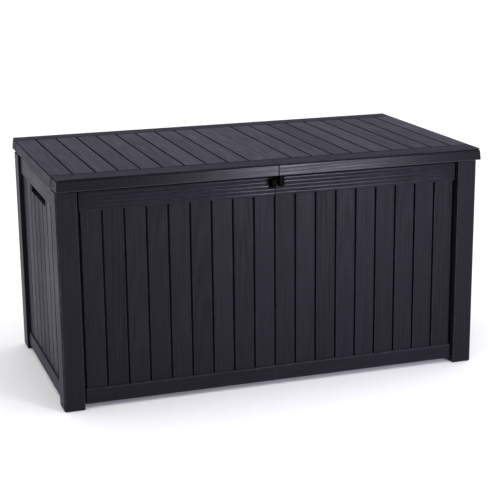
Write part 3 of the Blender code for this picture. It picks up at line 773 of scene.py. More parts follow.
def black_paint(looks):
    """Powder coat with a slight orange peel on the struts."""
    tree, shader = new_material("black_paint")
    where = add_node(tree, "ShaderNodeTexCoord").outputs["Object"]
    mould = place_group(tree, "mould_texture", {"Place": where, "Grain": 420.0, "Patches": 25.0})
    colour = blend_colours(tree, mould["Mottle"], looks.paint_colour, scaled(looks.paint_colour, 1.7))
    rough = spread(tree, mould["Mottle"], 0.0, 1.0, 0.24, 0.34)
    connect(tree, shader, colour, rough, mould["Height"], 0.0002, 0.35)
    shader.inputs["Coat Weight"].default_value = 0.3


def pale_floor(looks):
    """A plain pale floor with a barely uneven tone."""
    tree, shader = new_material("pale_floor")
    where = add_node(tree, "ShaderNodeTexCoord").outputs["Object"]
    cloud = noise(tree, where, 0.6, 3.0)
    colour = blend_colours(tree, cloud, scaled(looks.floor_colour, 0.985), looks.floor_colour)
    tree.links.new(colour, shader.inputs["Base Color"])
    shader.inputs["Roughness"].default_value = 0.9
    shader.inputs["Specular IOR Level"].default_value = 0.1


# Settings a user would change


def amount(name, description, default, unit):
    """A number of its own unit, from 0 up."""
    return FloatProperty(name=name, description=description, default=default, min=0.0, unit=unit)


def length(name, description, default):
    return FloatProperty(name=name, description=description, default=default, min=0.0, unit="LENGTH",
                         precision=4)


def colour(name, description, default):
    return FloatVectorProperty(name=name, description=description, default=default, size=3, min=0.0,
                               max=1.0, subtype="COLOR")


def share(name, description, default):
    return FloatProperty(name=name, description=description, default=default, min=0.0, max=1.0,
                         subtype="FACTOR")


class DeckBoxSizes(bpy.types.PropertyGroup):
    """Roundings and relief of the visible pieces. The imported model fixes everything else."""

    plank_round: length("Plank edge", "Rounding along each wall plank", 0.0020)
    rail_round: length("Rail edge", "Rounding of the bottom rails and the upper band", 0.0030)
    rib_deep: length("Rib depth", "Depth of the half-round ribs on the long bands", 0.0019)
    rib_fade: length("Rib fade", "Length over which the ribs run out", 0.075)
    post_round: length("Post corner", "Rounding of a post's outer corner", 0.0090)
    post_edge: length("Post edge", "Rounding of a post's other edges", 0.0025)
    foot_round: length("Foot edge", "Rounding round the bottom of a post", 0.0060)
    lid_round: length("Lid corner", "Rounding of the lid's outer edges", 0.0030)
    lid_groove: length("Lid groove", "Width between two planks of the lid", 0.0064)
    lid_groove_deep: length("Lid groove depth", "Depth between two planks of the lid", 0.0055)
    skirt_flare: length("Skirt flare", "How far the lid's skirt leans out at its foot", 0.0035)
    lid_rib_deep: length("Lid rib", "Height of the stiffening ribs under the lid", 0.0080)


class DeckBoxLooks(bpy.types.PropertyGroup):
    """Colours and finish of the box."""

    resin_deep: colour("Resin, deep", "Darkest tone of the graphite resin", (0.0034, 0.0034, 0.0043))
    resin_pale: colour("Resin, pale", "Lightest tone of the graphite resin", (0.0120, 0.0117, 0.0158))
    resin_sheen: colour("Resin sheen", "Tint of the glow at grazing angles", (0.35, 0.32, 1.0))
    resin_gloss: share("Resin gloss", "Strength of the resin's gloss", 0.055)
    resin_bloom: share("Resin bloom", "Strength of the soft glow at grazing angles", 0.05)
    band_shine: share("Band shine", "How much smoother the ribbed bands and the lid's skirt are", 0.24)
    # Edge colour and amount: rubbed wear, and a painted highlight on the edges as well
    edge_wear_and_highlight_colour: colour("Edge", "Tone of rubbed edges", (0.060, 0.060, 0.075))
    edge_wear_and_highlight: share("Edge wear", "How far edges are rubbed", 0.45)
    dust_colour: colour("Dust", "Tone of settled dust", (0.22, 0.21, 0.21))
    dust_amount: share("Dust amount", "How much dust lies on faces that look up", 0.035)
    grain_streaks: share("Streaks", "Contrast of the long grain lines", 0.65)
    grain_figure: share("Figure", "Contrast of the arched grain", 0.38)
    grain_depth: share("Grain depth", "How strongly the grain is embossed", 0.40)
    board_contrast: share("Board contrast", "Difference of tone between planks", 0.11)
    inner_deep: colour("Inside, deep", "Darker tone of the smooth inside", (0.0090, 0.0090, 0.011))
    inner_pale: colour("Inside, pale", "Lighter tone of the smooth inside", (0.016, 0.016, 0.0195))
    dark_resin: colour("Fittings", "Resin of the hinges and lock eyes", (0.0016, 0.0016, 0.0020))
    zinc: colour("Zinc", "Plating of the pins and screws", (0.62, 0.63, 0.64))
    beam: colour("Beams", "Steel of the lid's beams", (0.42, 0.43, 0.45))
    chrome: colour("Chrome", "Rods of the struts", (0.80, 0.81, 0.83))
    paint_colour: colour("Paint", "Paint of the struts", (0.0050, 0.0050, 0.0055))
    floor_colour: colour("Floor", "The plain floor", (0.92, 0.92, 0.92))


class DeckBoxStage(bpy.types.PropertyGroup):
    """Floor, surroundings and lights."""

    floor_size: amount("Floor", "Length of the floor's sides", 80.0, "LENGTH")
    sky_colour: colour("Above", "Colour of the light from above", (1.0, 1.0, 1.0))
    horizon_colour: colour("Round about", "Colour of the light from low down", (0.23, 0.22, 0.34))
    sky_strength: amount("Surround light", "Strength of the light from all round", 1.35, "NONE")
    left_power: amount("Left light", "Power of the soft light on the left", 4.0, "POWER")
    top_power: amount("Top light", "Power of the soft light above", 8.0, "POWER")
    front_power: amount("Front light", "Power of the light on the ribbed band", 75.0, "POWER")


class DECKBOX_OT_finishes(bpy.types.Operator):
    """Make the node groups and the materials of every piece"""

    bl_idname = "deck_box.finishes"
    bl_label = "Finishes"

    def execute(self, context):
        looks = context.scene.deck_box_looks
        board_grain_group()
        mould_texture_group()
        edge_wear_and_highlight_group()
        settled_dust_group()
        brushed_metal_group()
        graphite_resin(looks)
        plain_resin("inner_resin", looks.inner_deep, looks.inner_pale, 0.50, 0.3)
        plain_resin("dark_resin", scaled(looks.dark_resin, 0.6), looks.dark_resin, 0.55, 0.02)
        metal("zinc_steel", looks.zinc, 0.75, 0.32, 500.0, 0.3)
        metal("beam_steel", looks.beam, 0.7, 0.38, 900.0, 0.4)
        metal("rod_chrome", looks.chrome, 0.92, 0.10, 1200.0, 0.1)
        black_paint(looks)
        pale_floor(looks)
        return {"FINISHED"}


# Outlines and walls


def rectangle(low, high):
    """The corners of a rectangle, anticlockwise."""
    return [Vector(low), Vector((high[0], low[1])), Vector(high), Vector((low[0], high[1]))]


def plank_spans(start, pitch, count):
    """Both edges of each plank of a wall."""
    half = PLANK_GROOVE / 2
    return [(start + i * pitch + half, start + (i + 1) * pitch - half) for i in range(count)]


def rail_heights(foot, rounding):
    """Grid lines for a wall's bottom rail and its band."""
    return pad_lines(foot, RAIL_TOP, rounding) + pad_lines(BAND_LOW, BAND_TOP, rounding)


def on_rails(v):
    """Whether these heights lie on the bottom rail or on the band."""
    return (v < RAIL_TOP + STEP / 2) | ((v > BAND_LOW - STEP / 2) & (v < BAND_TOP + STEP / 2))


def planked_face(u, v, planks, left, face, web, rounding):
    """Height of a wall's planks. Their grooves go no deeper than the web's face."""
    low_v, high_v = RAIL_TOP - PLANK_HIDDEN, BAND_LOW + PLANK_HIDDEN
    groove_floor = pad(u, v, (left, low_v), (planks[-1][1], high_v), face - PLANK_GROOVE_DEEP, STEP)
    front = np.maximum(web, groove_floor)
    for low, high in planks:
        front = np.maximum(front, pad(u, v, (low, low_v), (high, high_v), face, rounding))
    return front


def wall_boards(pitch, start, count, along):
    """Splits a wall's faces into its rail and band, which run along it, and its upright planks."""
    halved = start == 0.0

    def boards(centres):
        place = np.abs(centres[:, along]) if halved else centres[:, along]
        number = np.clip(np.floor((place - start) / pitch), 0, count - 1).astype(int)
        low = centres[:, 2] < RAIL_TOP
        high = centres[:, 2] > BAND_LOW
        band = RIBBED_BAND if halved else PLAIN_BAND
        return np.where(low | high, along, 2), np.where(low, RAIL, np.where(high, band, number))
    return boards


# Pieces


def corner_post(name, side_x, side_y, sizes):
    """An L-shaped post with a rounded outer corner and a rounded foot."""
    points = [(POST_HIGH.x, POST_LOW.y), (POST_HIGH.x, POST_HIGH.y), (POST_LOW.x, POST_HIGH.y),
              (POST_LOW.x, WALL_LOW.y), (SIDE_LOW.x, WALL_LOW.y), (SIDE_LOW.x, POST_LOW.y)]
    edge = sizes.post_edge
    outline = round_corners(points, [edge, sizes.post_round, edge, 0.0, 0.0, 0.0])
    mesh = rounded_prism(name, outline, POST_LOW.z, POST_HIGH.z, (sizes.foot_round, edge),
                         lambda a, b, height: (side_x * a, side_y * b, height))

    def upright(centres):
        return np.full(len(centres), 2), np.zeros(len(centres), int)

    lay_boards(mesh, upright, POST_SEED + side_x + 2 * side_y)
    finish_piece(name, mesh, "box_body", "graphite_resin")


def rib_lines():
    """Grid lines for the half-round ribs of a band."""
    pitch = (BAND_TOP - BAND_LOW) / RIBS
    turns = [math.radians(180 * i / RIB_ARC_STEPS) for i in range(RIB_ARC_STEPS + 1)]
    return [BAND_LOW + pitch * (k + (1 - math.cos(turn)) / 2) for k in range(RIBS) for turn in turns]


def rib_hollows(u, v, fade_end, sizes):
    """Depth of the hollows between a band's ribs, which run out towards the post."""
    part = np.mod((v - BAND_LOW) / (BAND_TOP - BAND_LOW) * RIBS, 1.0)
    hollow = 1 - np.sqrt(np.clip(1 - (2 * part - 1) ** 2, 0, None))
    fade = np.clip((fade_end - u) / sizes.rib_fade, 0, 1)
    return sizes.rib_deep * hollow * fade * fade * (3 - 2 * fade)


def long_panel(name, side_x, side_y, sizes):
    """Half of the front or back: nine planks, a bottom rail and a band with half-round ribs."""
    rail_out, wall_in = WALL_HIGH.y, WALL_LOW.y
    web_in = wall_in + WEB_BACK
    face = rail_out - PLANK_SINK
    end = POST_LOW.x - RAIL_END
    fade_end = end - RIB_MARGIN
    planks = plank_spans(0.0, PLANK_PITCH, PLANKS_LONG)
    wanted = [SEAM_HALF + step for step in arc_steps(SEAM_ROUND)]
    wanted += [end + STEP] + [end - step for step in arc_steps(sizes.rail_round)]
    wanted += [line for span in planks for line in pad_lines(*span, sizes.plank_round)]
    wanted += [fade_end - sizes.rib_fade * i / RIB_FADE_STEPS for i in range(RIB_FADE_STEPS + 1)]
    us = grid_lines(SEAM_HALF, WALL_HIGH.x, wanted)
    vs = grid_lines(WALL_LOW.z, WALL_HIGH.z, rail_heights(WALL_LOW.z, sizes.rail_round) + rib_lines())
    u, v = np.meshgrid(us, vs, indexing="ij")
    front = planked_face(u, v, planks, PAST_SEAM, face, web_in + WEB_THICK, sizes.plank_round)
    rail = pad(u, v, (PAST_SEAM, WALL_LOW.z), (end, RAIL_TOP), rail_out, sizes.rail_round)
    band = pad(u, v, (PAST_SEAM, BAND_LOW), (end, BAND_TOP), rail_out, sizes.rail_round)
    ribbed = np.minimum(band, rail_out - rib_hollows(u, v, fade_end, sizes))
    band = np.where(band > 0, ribbed, band)
    front = np.maximum(front, np.maximum(rail, band))
    front -= edge_drop(u - SEAM_HALF, SEAM_ROUND)
    railed = (u < end + STEP / 2) & on_rails(v)
    from_middle = np.abs(np.mod(u + PLANK_PITCH / 2, PLANK_PITCH) - PLANK_PITCH / 2)
    line = (from_middle < PLANK_GROOVE / 2 - STEP / 2) & ~railed
    back = np.where(railed, wall_in, web_in) + np.where(line, LINING_SINK, 0.0)
    mesh = relief_mesh(name, us, vs, front, back, lambda a, b, h: (side_x * a, side_y * h, b))
    seed = LONG_SEED + 2 * side_x + 5 * side_y
    lay_boards(mesh, wall_boards(PLANK_PITCH, 0.0, PLANKS_LONG, 0), seed)
    finish_piece(name, mesh, "box_body", "graphite_resin", "inner_resin")


def side_panel(name, side_x, sizes):
    """An end wall: eight planks, two rails and a hand slot with softened edges."""
    rail_out, wall_in = SIDE_HIGH.x, SIDE_LOW.x
    web_in = wall_in + WEB_BACK
    face = rail_out - SIDE_PLANK_SINK
    end = POST_LOW.y - RAIL_END
    start = -SIDE_PITCH * PLANKS_SIDE / 2
    planks = plank_spans(start, SIDE_PITCH, PLANKS_SIDE)
    softened = [SLOT_ROUND - step for step in arc_steps(SLOT_ROUND)]
    wanted = pad_lines(-end, end, sizes.rail_round)
    wanted += [line for span in planks for line in pad_lines(*span, sizes.plank_round)]
    wanted += [side * (SLOT_HALF + step) for step in softened for side in (-1, 1)]
    us = grid_lines(SIDE_LOW.y, SIDE_HIGH.y, wanted)
    wanted = rail_heights(SIDE_LOW.z, sizes.rail_round)
    wanted += [SLOT_TOP + step for step in softened] + [SLOT_LOW - step for step in softened]
    vs = grid_lines(SIDE_LOW.z, SIDE_HIGH.z, wanted)
    u, v = np.meshgrid(us, vs, indexing="ij")
    front = planked_face(u, v, planks, planks[0][0], face, web_in + WEB_THICK, sizes.plank_round)
    for low, high in ((SIDE_LOW.z, RAIL_TOP), (BAND_LOW, BAND_TOP)):
        front = np.maximum(front, pad(u, v, (-end, low), (end, high), rail_out, sizes.rail_round))
    beyond = np.maximum(np.abs(u) - SLOT_HALF, np.maximum(SLOT_LOW - v, v - SLOT_TOP))
    soft = edge_drop(np.clip(beyond, 0, None), SLOT_ROUND)
    railed = (np.abs(u) < end + STEP / 2) & on_rails(v)
    back = np.where(railed, wall_in, web_in) + SLOT_ROUND_INSIDE * soft
    holes = [((-SLOT_HALF, SLOT_LOW), (SLOT_HALF, SLOT_TOP))]
    mesh = relief_mesh(name, us, vs, front - soft, back, lambda a, b, h: (side_x * h, a, b), holes)
    lay_boards(mesh, wall_boards(SIDE_PITCH, start, PLANKS_SIDE, 1), SIDE_SEED + 3 * side_x)
    finish_piece(name, mesh, "box_body", "graphite_resin", "inner_resin")


def floor_half(name, side_x):
    """Half of the floor, with shallow lines on top and three deep ribs below."""
    bars = [FLOOR_LINE_PITCH * i for i in range(1, FLOOR_LINES + 1)]
    ribs = [(place - FLOOR_RIB_HALF, place + FLOOR_RIB_HALF) for place in FLOOR_RIBS]
    reach = FLOOR_HIGH.y - FLOOR_RIB_END
    wanted = [line for place in bars for line in groove_lines(place, FLOOR_LINE_HALF, FLOOR_LINE_ROUND)]
    wanted += [line for span in ribs for line in pad_lines(*span, FLOOR_RIB_ROUND)]
    us = grid_lines(SEAM_HALF, FLOOR_HIGH.x, wanted)
    wanted = pad_lines(-reach, reach, FLOOR_EDGE_ROUND)
    wanted += pad_lines(-FLOOR_LINE_END, FLOOR_LINE_END, FLOOR_RIB_ROUND)
    vs = grid_lines(FLOOR_LOW.y, FLOOR_HIGH.y, wanted)
    u, v = np.meshgrid(us, vs, indexing="ij")
    drop = np.zeros(u.shape)
    for place in bars:
        drop = np.maximum(drop, groove_drop(u, place, FLOOR_LINE_HALF, FLOOR_LINE_DEEP, FLOOR_LINE_ROUND))
    top = FLOOR_HIGH.z - np.where(np.abs(v) < FLOOR_LINE_END, drop, 0.0)
    below = np.full(u.shape, FLOOR_PLATE_LOW)
    for low, high in ribs:
        rib = pad(u, v, (low, -reach), (high, reach), FLOOR_PLATE_LOW - FLOOR_LOW.z, FLOOR_RIB_ROUND)
        below = np.where(rib > 0, FLOOR_PLATE_LOW - rib, below)
    mesh = relief_mesh(name, us, vs, top, below, lambda a, b, h: (side_x * a, b, h), back_material=0)
    finish_piece(name, mesh, "box_body", "inner_resin")


def joint_strip(name, body, low, high, thick, place):
    """A long strip with rounded edges, a sunk channel and raised clips in it."""
    half = STRIP_HIGH.x
    channel, clip = half * CHANNEL_SHARE, half * CLIP_SHARE
    ends = (low + CHANNEL_END, high - CHANNEL_END)
    middles = [ends[0] + (ends[1] - ends[0]) * (i + 0.5) / CLIPS for i in range(CLIPS)]
    spans = [(middle - CLIP_HALF, middle + CLIP_HALF) for middle in middles]
    wanted = pad_lines(-half, half, STRIP_ROUND) + pad_lines(-channel, channel, CHANNEL_ROUND)
    us = grid_lines(-half, half, wanted + pad_lines(-clip, clip, CLIP_ROUND))
    wanted = pad_lines(low, high, STRIP_ROUND) + pad_lines(*ends, CHANNEL_ROUND)
    wanted += [line for span in spans for line in pad_lines(*span, CLIP_ROUND)]
    vs = grid_lines(low, high, wanted)
    u, v = np.meshgrid(us, vs, indexing="ij")
    height = pad(u, v, (-half, low), (half, high), thick, STRIP_ROUND)
    sunk = (np.abs(u) < channel - STEP / 2) & (v > ends[0] + STEP / 2) & (v < ends[1] - STEP / 2)
    height = np.where(sunk, thick - CHANNEL_DEEP, height)
    for first, last in spans:
        raised = pad(u, v, (-clip, first), (clip, last), thick - CLIP_SINK, CLIP_ROUND)
        height = np.maximum(height, raised)
    mesh = relief_mesh(name, us, vs, height, np.zeros(u.shape), place, back_material=0)
    finish_piece(name, mesh, body, "inner_resin")


def joint_strips():
    """The strips that hold the halves of the walls, of the floor and of the lid together."""
    thick = STRIP_HIGH.y - STRIP_LOW.y
    for end, side_y in ENDS:
        joint_strip(end + "_joint_strip", "box_body", STRIP_LOW.z, STRIP_HIGH.z, thick,
                    lambda a, b, h, side=side_y: (a, side * (STRIP_HIGH.y - h), b))
    for name, body in (("floor_joint_beam", "box_body"), ("lid_joint_strip", "lid")):
        low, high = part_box(name)
        joint_strip(name, body, low.y, high.y, high.z - low.z, lambda a, b, h, top=high.z: (a, b, top - h))


def lid_place(side_x, sizes):
    """Turns a lid's grid into places: rounds its corners, grooves its edge and leans its skirt."""
    radius = sizes.lid_round
    tall = LID_HIGH.z - LID_LOW.z

    def place(u, v, height):
        inside = np.minimum(LID_HIGH.x - u, LID_HIGH.y - np.abs(v))
        sunk = np.abs(inside - 1.5 * EDGE_STEPS[1]) < EDGE_STEPS[1]
        sunk &= height > LID_HIGH.z - EDGE_LEVELS[0]
        u = np.where(sunk, np.minimum(u, LID_HIGH.x - EDGE_SINK), u)
        v = np.where(sunk, np.clip(v, EDGE_SINK - LID_HIGH.y, LID_HIGH.y - EDGE_SINK), v)
        over_x = np.clip(u - (LID_HIGH.x - radius), 0, None)
        over_y = np.clip(np.abs(v) - (LID_HIGH.y - radius), 0, None)
        squeeze = np.maximum(over_x, over_y) / np.maximum(np.hypot(over_x, over_y), 1e-9)
        x = u - over_x + over_x * np.where(over_x > 0, squeeze, 1)
        y = np.abs(v) - over_y + over_y * np.where(over_y > 0, squeeze, 1)
        at_wall = inside < LID_WALL / 2
        y = y - np.where(at_wall, edge_drop(u - SEAM_HALF, SEAM_ROUND), 0.0)
        lean = sizes.skirt_flare * (height - LID_LOW.z) / tall
        x = x - lean * np.clip((u - LID_HIGH.x + LEAN_REACH) / LEAN_REACH, 0, 1)
        y = y - lean * np.clip((np.abs(v) - LID_HIGH.y + LEAN_REACH) / LEAN_REACH, 0, 1)
        for rim in (RIM_FRONT, RIM_BACK):
            at_side = (u > LID_HIGH.x - STEP / 4) & (np.abs(v - rim) < RIM_HALF - STEP / 2)
            x = x - np.where(at_side, RIM_SIDE_SINK, 0.0)
        return side_x * x, np.sign(v) * y, height
    return place


def lid_boards(centres):
    """Planks run front to back, and the front and back rims run across."""
    number = np.clip(np.floor(np.abs(centres[:, 0]) / LID_PITCH), 0, LID_PLANKS - 1).astype(int)
    rim_front = centres[:, 1] < RIM_FRONT
    rim_back = centres[:, 1] > RIM_BACK
    low = centres[:, 2] < LID_HIGH.z - EDGE_LEVELS[0]
    skirt_long = low & (np.abs(centres[:, 1]) > LID_HIGH.y - LID_WALL)
    skirt_end = low & ~skirt_long & (np.abs(centres[:, 0]) > LID_HIGH.x - LID_WALL)
    number = np.where(rim_front, RIMS[0], np.where(rim_back, RIMS[1], number))
    number = np.where(skirt_long, SKIRTS[0], np.where(skirt_end, SKIRTS[1], number))
    axis = np.where((rim_front | rim_back | skirt_long) & ~skirt_end, 0, 1)
    return axis, number


def lid_half(name, side_x, sizes):
    """Half of the lid: planks between two rims, a leaning skirt, and ribs underneath."""
    half_x, half_y, top_z = LID_HIGH.x, LID_HIGH.y, LID_HIGH.z
    wall_x, wall_y = half_x - LID_WALL, half_y - LID_WALL
    groove = sizes.lid_groove / 2
    border = arc_steps(sizes.lid_round) + arc_steps(LID_FOOT_ROUND) + list(EDGE_STEPS)
    (rib_x, rib_x_end), (rib_y, rib_y_end) = UNDER_RIB_X, UNDER_RIB_Y
    wanted = [SEAM_HALF + step for step in arc_steps(SEAM_ROUND)] + [half_x - step for step in border]
    for i in range(1, LID_PLANKS):
        wanted += groove_lines(i * LID_PITCH, groove, PLANK_SHOULDER)
    wanted += [wall_x, wall_x - STEP, rib_x, rib_x - STEP, rib_x_end, rib_x_end + STEP]
    us = grid_lines(SEAM_HALF, half_x, wanted)
    wanted = [side * (half_y - step) for step in border for side in (-1, 1)]
    wanted += groove_lines(RIM_FRONT, RIM_HALF, RIM_SHOULDER) + groove_lines(RIM_BACK, RIM_HALF, RIM_SHOULDER)
    wanted += [wall_y, wall_y - STEP, -wall_y, STEP - wall_y]
    wanted += [rib_y, rib_y - STEP, rib_y_end, rib_y_end + STEP]
    for place in UNDER_RIBS:
        wanted += pad_lines(place - UNDER_RIB_HALF, place + UNDER_RIB_HALF, UNDER_RIB_ROUND)
    vs = grid_lines(-half_y, half_y, wanted)
    u, v = np.meshgrid(us, vs, indexing="ij")
    inside = np.minimum(half_x - u, half_y - np.abs(v))
    drop = np.maximum(edge_drop(inside, sizes.lid_round), edge_drop(u - SEAM_HALF, SEAM_ROUND))
    between = (v > RIM_FRONT) & (v < RIM_BACK)
    for i in range(1, LID_PLANKS):
        cut = groove_drop(u, i * LID_PITCH, groove, sizes.lid_groove_deep, PLANK_SHOULDER)
        drop = np.maximum(drop, np.where(between, cut, 0))
    for place in (RIM_FRONT, RIM_BACK):
        drop = np.maximum(drop, groove_drop(v, place, RIM_HALF, RIM_DEEP, RIM_SHOULDER))
    for step, level in zip(EDGE_STEPS, EDGE_LEVELS):
        drop = np.where(np.abs(inside - step) < EDGE_STEPS[1] / 4, level, drop)
    open_below = (u < wall_x - STEP / 2) & (np.abs(v) < wall_y - STEP / 2)
    below = np.where(open_below, top_z - LID_PLATE, LID_LOW.z + edge_drop(inside, LID_FOOT_ROUND))
    ribbed = np.zeros(u.shape, bool)
    along = (v > rib_y - STEP / 2) & (v < rib_y_end + STEP / 2)
    across = (u > rib_x - STEP / 2) & (u < rib_x_end + STEP / 2)
    for i in range(1, LID_PLANKS - 1):
        ribbed |= (np.abs(u - i * LID_PITCH) < groove - STEP / 2) & along
    for place in UNDER_RIBS:
        ribbed |= (np.abs(v - place) < UNDER_RIB_HALF + STEP / 2) & across
    below = np.where(ribbed, top_z - LID_PLATE - sizes.lid_rib_deep, below)
    mesh = relief_mesh(name, us, vs, top_z - drop, below, lid_place(side_x, sizes))
    lay_boards(mesh, lid_boards, LID_SEED + side_x)
    finish_piece(name, mesh, "lid", "graphite_resin", "inner_resin")


def arc_points(centre, radius, start, end):
    """Points of an arc in degrees, anticlockwise."""
    turns = [math.radians(start + (end - start) * i / EYE_ARC_STEPS) for i in range(EYE_ARC_STEPS + 1)]
    return [Vector((centre[0] + radius * math.cos(t), centre[1] + radius * math.sin(t))) for t in turns]


def drill(radius):
    """A round cutter along Z."""
    ends = [(radius, -DRILL_HALF), (radius, DRILL_HALF)]
    return turned_mesh("drill", [(0.0, -DRILL_HALF), *ends, (0.0, DRILL_HALF)])


def lock_eye(name, body, outline, low, high, middle):
    """A rounded tab with a padlock hole, on a base plate from low to high in Y and Z."""
    tab = rounded_prism(name, outline, middle - EYE_HALF, middle + EYE_HALF, (EYE_ROUND, EYE_ROUND),
                        lambda a, b, height: (height, a, b))
    hole = drill(EYE_HOLE)
    hole.transform(Matrix.Translation((middle, *EYE)) @ Matrix.Rotation(math.radians(90), 4, "Y"))
    half = EYE_HALF + EYE_BASE_MARGIN
    corners = round_corners(rectangle((middle - half, low[1]), (middle + half, high[1])), EYE_BASE_CORNER)
    base = rounded_prism(name, corners, low[0], high[0], (EYE_BASE_ROUND, EYE_BASE_ROUND),
                         lambda a, b, height: (a, height, b))
    mesh = joined_mesh(name, [(cut_mesh(tab, [hole]), Matrix()), (base, Matrix())])
    finish_piece(name, mesh, body, "dark_resin")


def lock_eyes():
    """The eye on the wall, and the eye that hangs from the lid beside it."""
    low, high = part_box("body_lock_eye")
    root = high.y - EYE_ROOT
    reach = EYE_R - EYE_LIP
    outline = [Vector((root, EYE[1] + reach)), *arc_points(EYE, EYE_R, 90, 270)]
    outline.append(Vector((root, EYE[1] - reach)))
    foot = (high.y - EYE_BASE_THICK, low.z)
    lock_eye("body_lock_eye", "box_body", outline, foot, (high.y, high.z), -EYE_ASIDE)
    low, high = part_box("lid_lock_eye")
    skirt = LID_WALL - LID_HIGH.y + EYE_GAP
    edge = skirt + EYE_GAP
    top = high.z - EYE_TOP_GAP
    outline = [Vector((edge, top)), Vector((edge, EYE[1])), *arc_points(EYE, EYE_R, 195, 360)]
    outline.append(Vector((EYE[0] + EYE_R, LID_LOW.z + EYE_SHOULDER)))
    outline.append(Vector((skirt + EYE_TOP_REACH, top)))
    foot = (skirt, LID_LOW.z + EYE_FOOT)
    lock_eye("lid_lock_eye", "lid", outline, foot, (skirt + EYE_BASE_THICK, high.z), EYE_ASIDE)


def hinge_screw(name):
    """A pan-head screw with a cross recess."""
    low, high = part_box(name)
    middle = (low + high) / 2
    length, radius = high.y - low.y, (high.x - low.x) / 2
    seat = length - HEAD_TALL
    rim = seat + HEAD_RIM
    profile = [(0.0, 0.0), (SHANK_R, 0.0), (SHANK_R, seat), (radius, seat), (radius, rim)]
    profile += [(radius * math.cos(t), rim + HEAD_DOME * math.sin(t)) for t in HEAD_TURNS]
    profile.append((0.0, length))
    cutters = []
    for turn in (0, 90):
        outline = rectangle((-RECESS[0], -RECESS[1]), RECESS)
        slot = rounded_prism("slot", outline, length - RECESS_DEEP, length + RECESS_PAST, RECESS_ROUND,
                             lambda a, b, height: (a, b, height))
        slot.transform(Matrix.Rotation(math.radians(turn + RECESS_TURN), 4, "Z"))
        cutters.append(slot)
    mesh = cut_mesh(turned_mesh(name, profile, HEAD_STEPS), cutters)
    upright = Matrix.Rotation(math.radians(-90), 4, "X")
    mesh.transform(Matrix.Translation((middle.x, low.y, middle.z)) @ upright)
    finish_piece(name, mesh, "box_body", "zinc_steel")


def disc(name, radius, low, high, rounding):
    """A flat disc about Z with rounded rims."""
    rim = [(radius - inward, up) for inward, up in quarter_round(rounding)]
    lower = [(r, low + up) for r, up in rim]
    upper = [(r, high - up) for r, up in reversed(rim)]
    return turned_mesh(name, [(0.0, low)] + lower + upper + [(0.0, high)])


def strut(tag, side_x):
    """A gas strut: a painted tube with a rolled end, and a chromed rod with its end fitting."""
    tilt = Matrix.Rotation(math.radians(STRUT_TILT), 4, "X")
    base = Matrix.Translation((side_x * STRUT_X, *STRUT_FOOT)) @ tilt
    flat = Matrix.Rotation(math.radians(90), 4, "Y")
    name = "strut_tube_" + tag
    eye = disc("eye", TUBE_EYE_R, -STRUT_EYE_HALF, STRUT_EYE_HALF, TUBE_EYE_ROUND)
    eye = cut_mesh(eye, [drill(TUBE_BORE)])
    mesh = joined_mesh(name, [(turned_mesh("tube", TUBE_PROFILE), base), (eye, base @ flat)])
    finish_piece(name, mesh, name, "black_paint")
    name = "strut_rod_" + tag
    neck = turned_mesh("neck", NECK_PROFILE)
    end = disc("end", ROD_EYE_R, -STRUT_EYE_HALF, STRUT_EYE_HALF, ROD_EYE_ROUND)
    cap = disc("cap", CAP_R, *sorted(-side_x * reach for reach in CAP_SPAN), CAP_ROUND)
    for part in (neck, end, cap):
        part.polygons.foreach_set("material_index", [1] * len(part.polygons))
    pivot = base @ Matrix.Translation((0.0, 0.0, STRUT_LENGTH)) @ flat
    rod = turned_mesh("rod", ROD_PROFILE)
    mesh = joined_mesh(name, [(rod, base), (neck, base), (end, pivot), (cap, pivot)])
    finish_piece(name, mesh, name, "rod_chrome", "black_paint")


# Operators


class DECKBOX_OT_corner_posts(bpy.types.Operator):
    """Build the four corner posts"""

    bl_idname = "deck_box.corner_posts"
    bl_label = "Corner posts"

    def execute(self, context):
        for end, side_y in ENDS:
            for tag, side_x in SIDES:
                corner_post(f"corner_post_{end}_{tag}", side_x, side_y, context.scene.deck_box_sizes)
        return {"FINISHED"}


class DECKBOX_OT_long_panels(bpy.types.Operator):
    """Build the halves of the front and back walls"""

    bl_idname = "deck_box.long_panels"
    bl_label = "Front and back"

    def execute(self, context):
        for end, side_y in ENDS:
            for tag, side_x in SIDES:
                long_panel(f"{end}_panel_{tag}", side_x, side_y, context.scene.deck_box_sizes)
        return {"FINISHED"}


class DECKBOX_OT_side_panels(bpy.types.Operator):
    """Build the two end walls with their hand slots"""

    bl_idname = "deck_box.side_panels"
    bl_label = "Ends"

    def execute(self, context):
        for tag, side_x in SIDES:
            side_panel(f"side_panel_{tag}", side_x, context.scene.deck_box_sizes)
        return {"FINISHED"}


class DECKBOX_OT_floor(bpy.types.Operator):
    """Build the floor and the strips that join the halves"""

    bl_idname = "deck_box.floor_and_strips"
    bl_label = "Floor and strips"

    def execute(self, context):
        for tag, side_x in SIDES:
            floor_half("floor_" + tag, side_x)
        joint_strips()
        return {"FINISHED"}


class DECKBOX_OT_lid(bpy.types.Operator):
    """Build the lid's halves and finish its beams"""

    bl_idname = "deck_box.lid"
    bl_label = "Lid"

    def execute(self, context):
        for tag, side_x in SIDES:
            lid_half("lid_" + tag, side_x, context.scene.deck_box_sizes)
        for name in ("lid_beam_front", "lid_beam_back"):
            refine_node(name, "beam_steel", FITTING_EDGE)
        return {"FINISHED"}


class DECKBOX_OT_lock_eyes(bpy.types.Operator):
    """Build the two eyes that take a padlock"""

    bl_idname = "deck_box.lock_eyes"
    bl_label = "Lock eyes"

    def execute(self, context):
        lock_eyes()
        return {"FINISHED"}


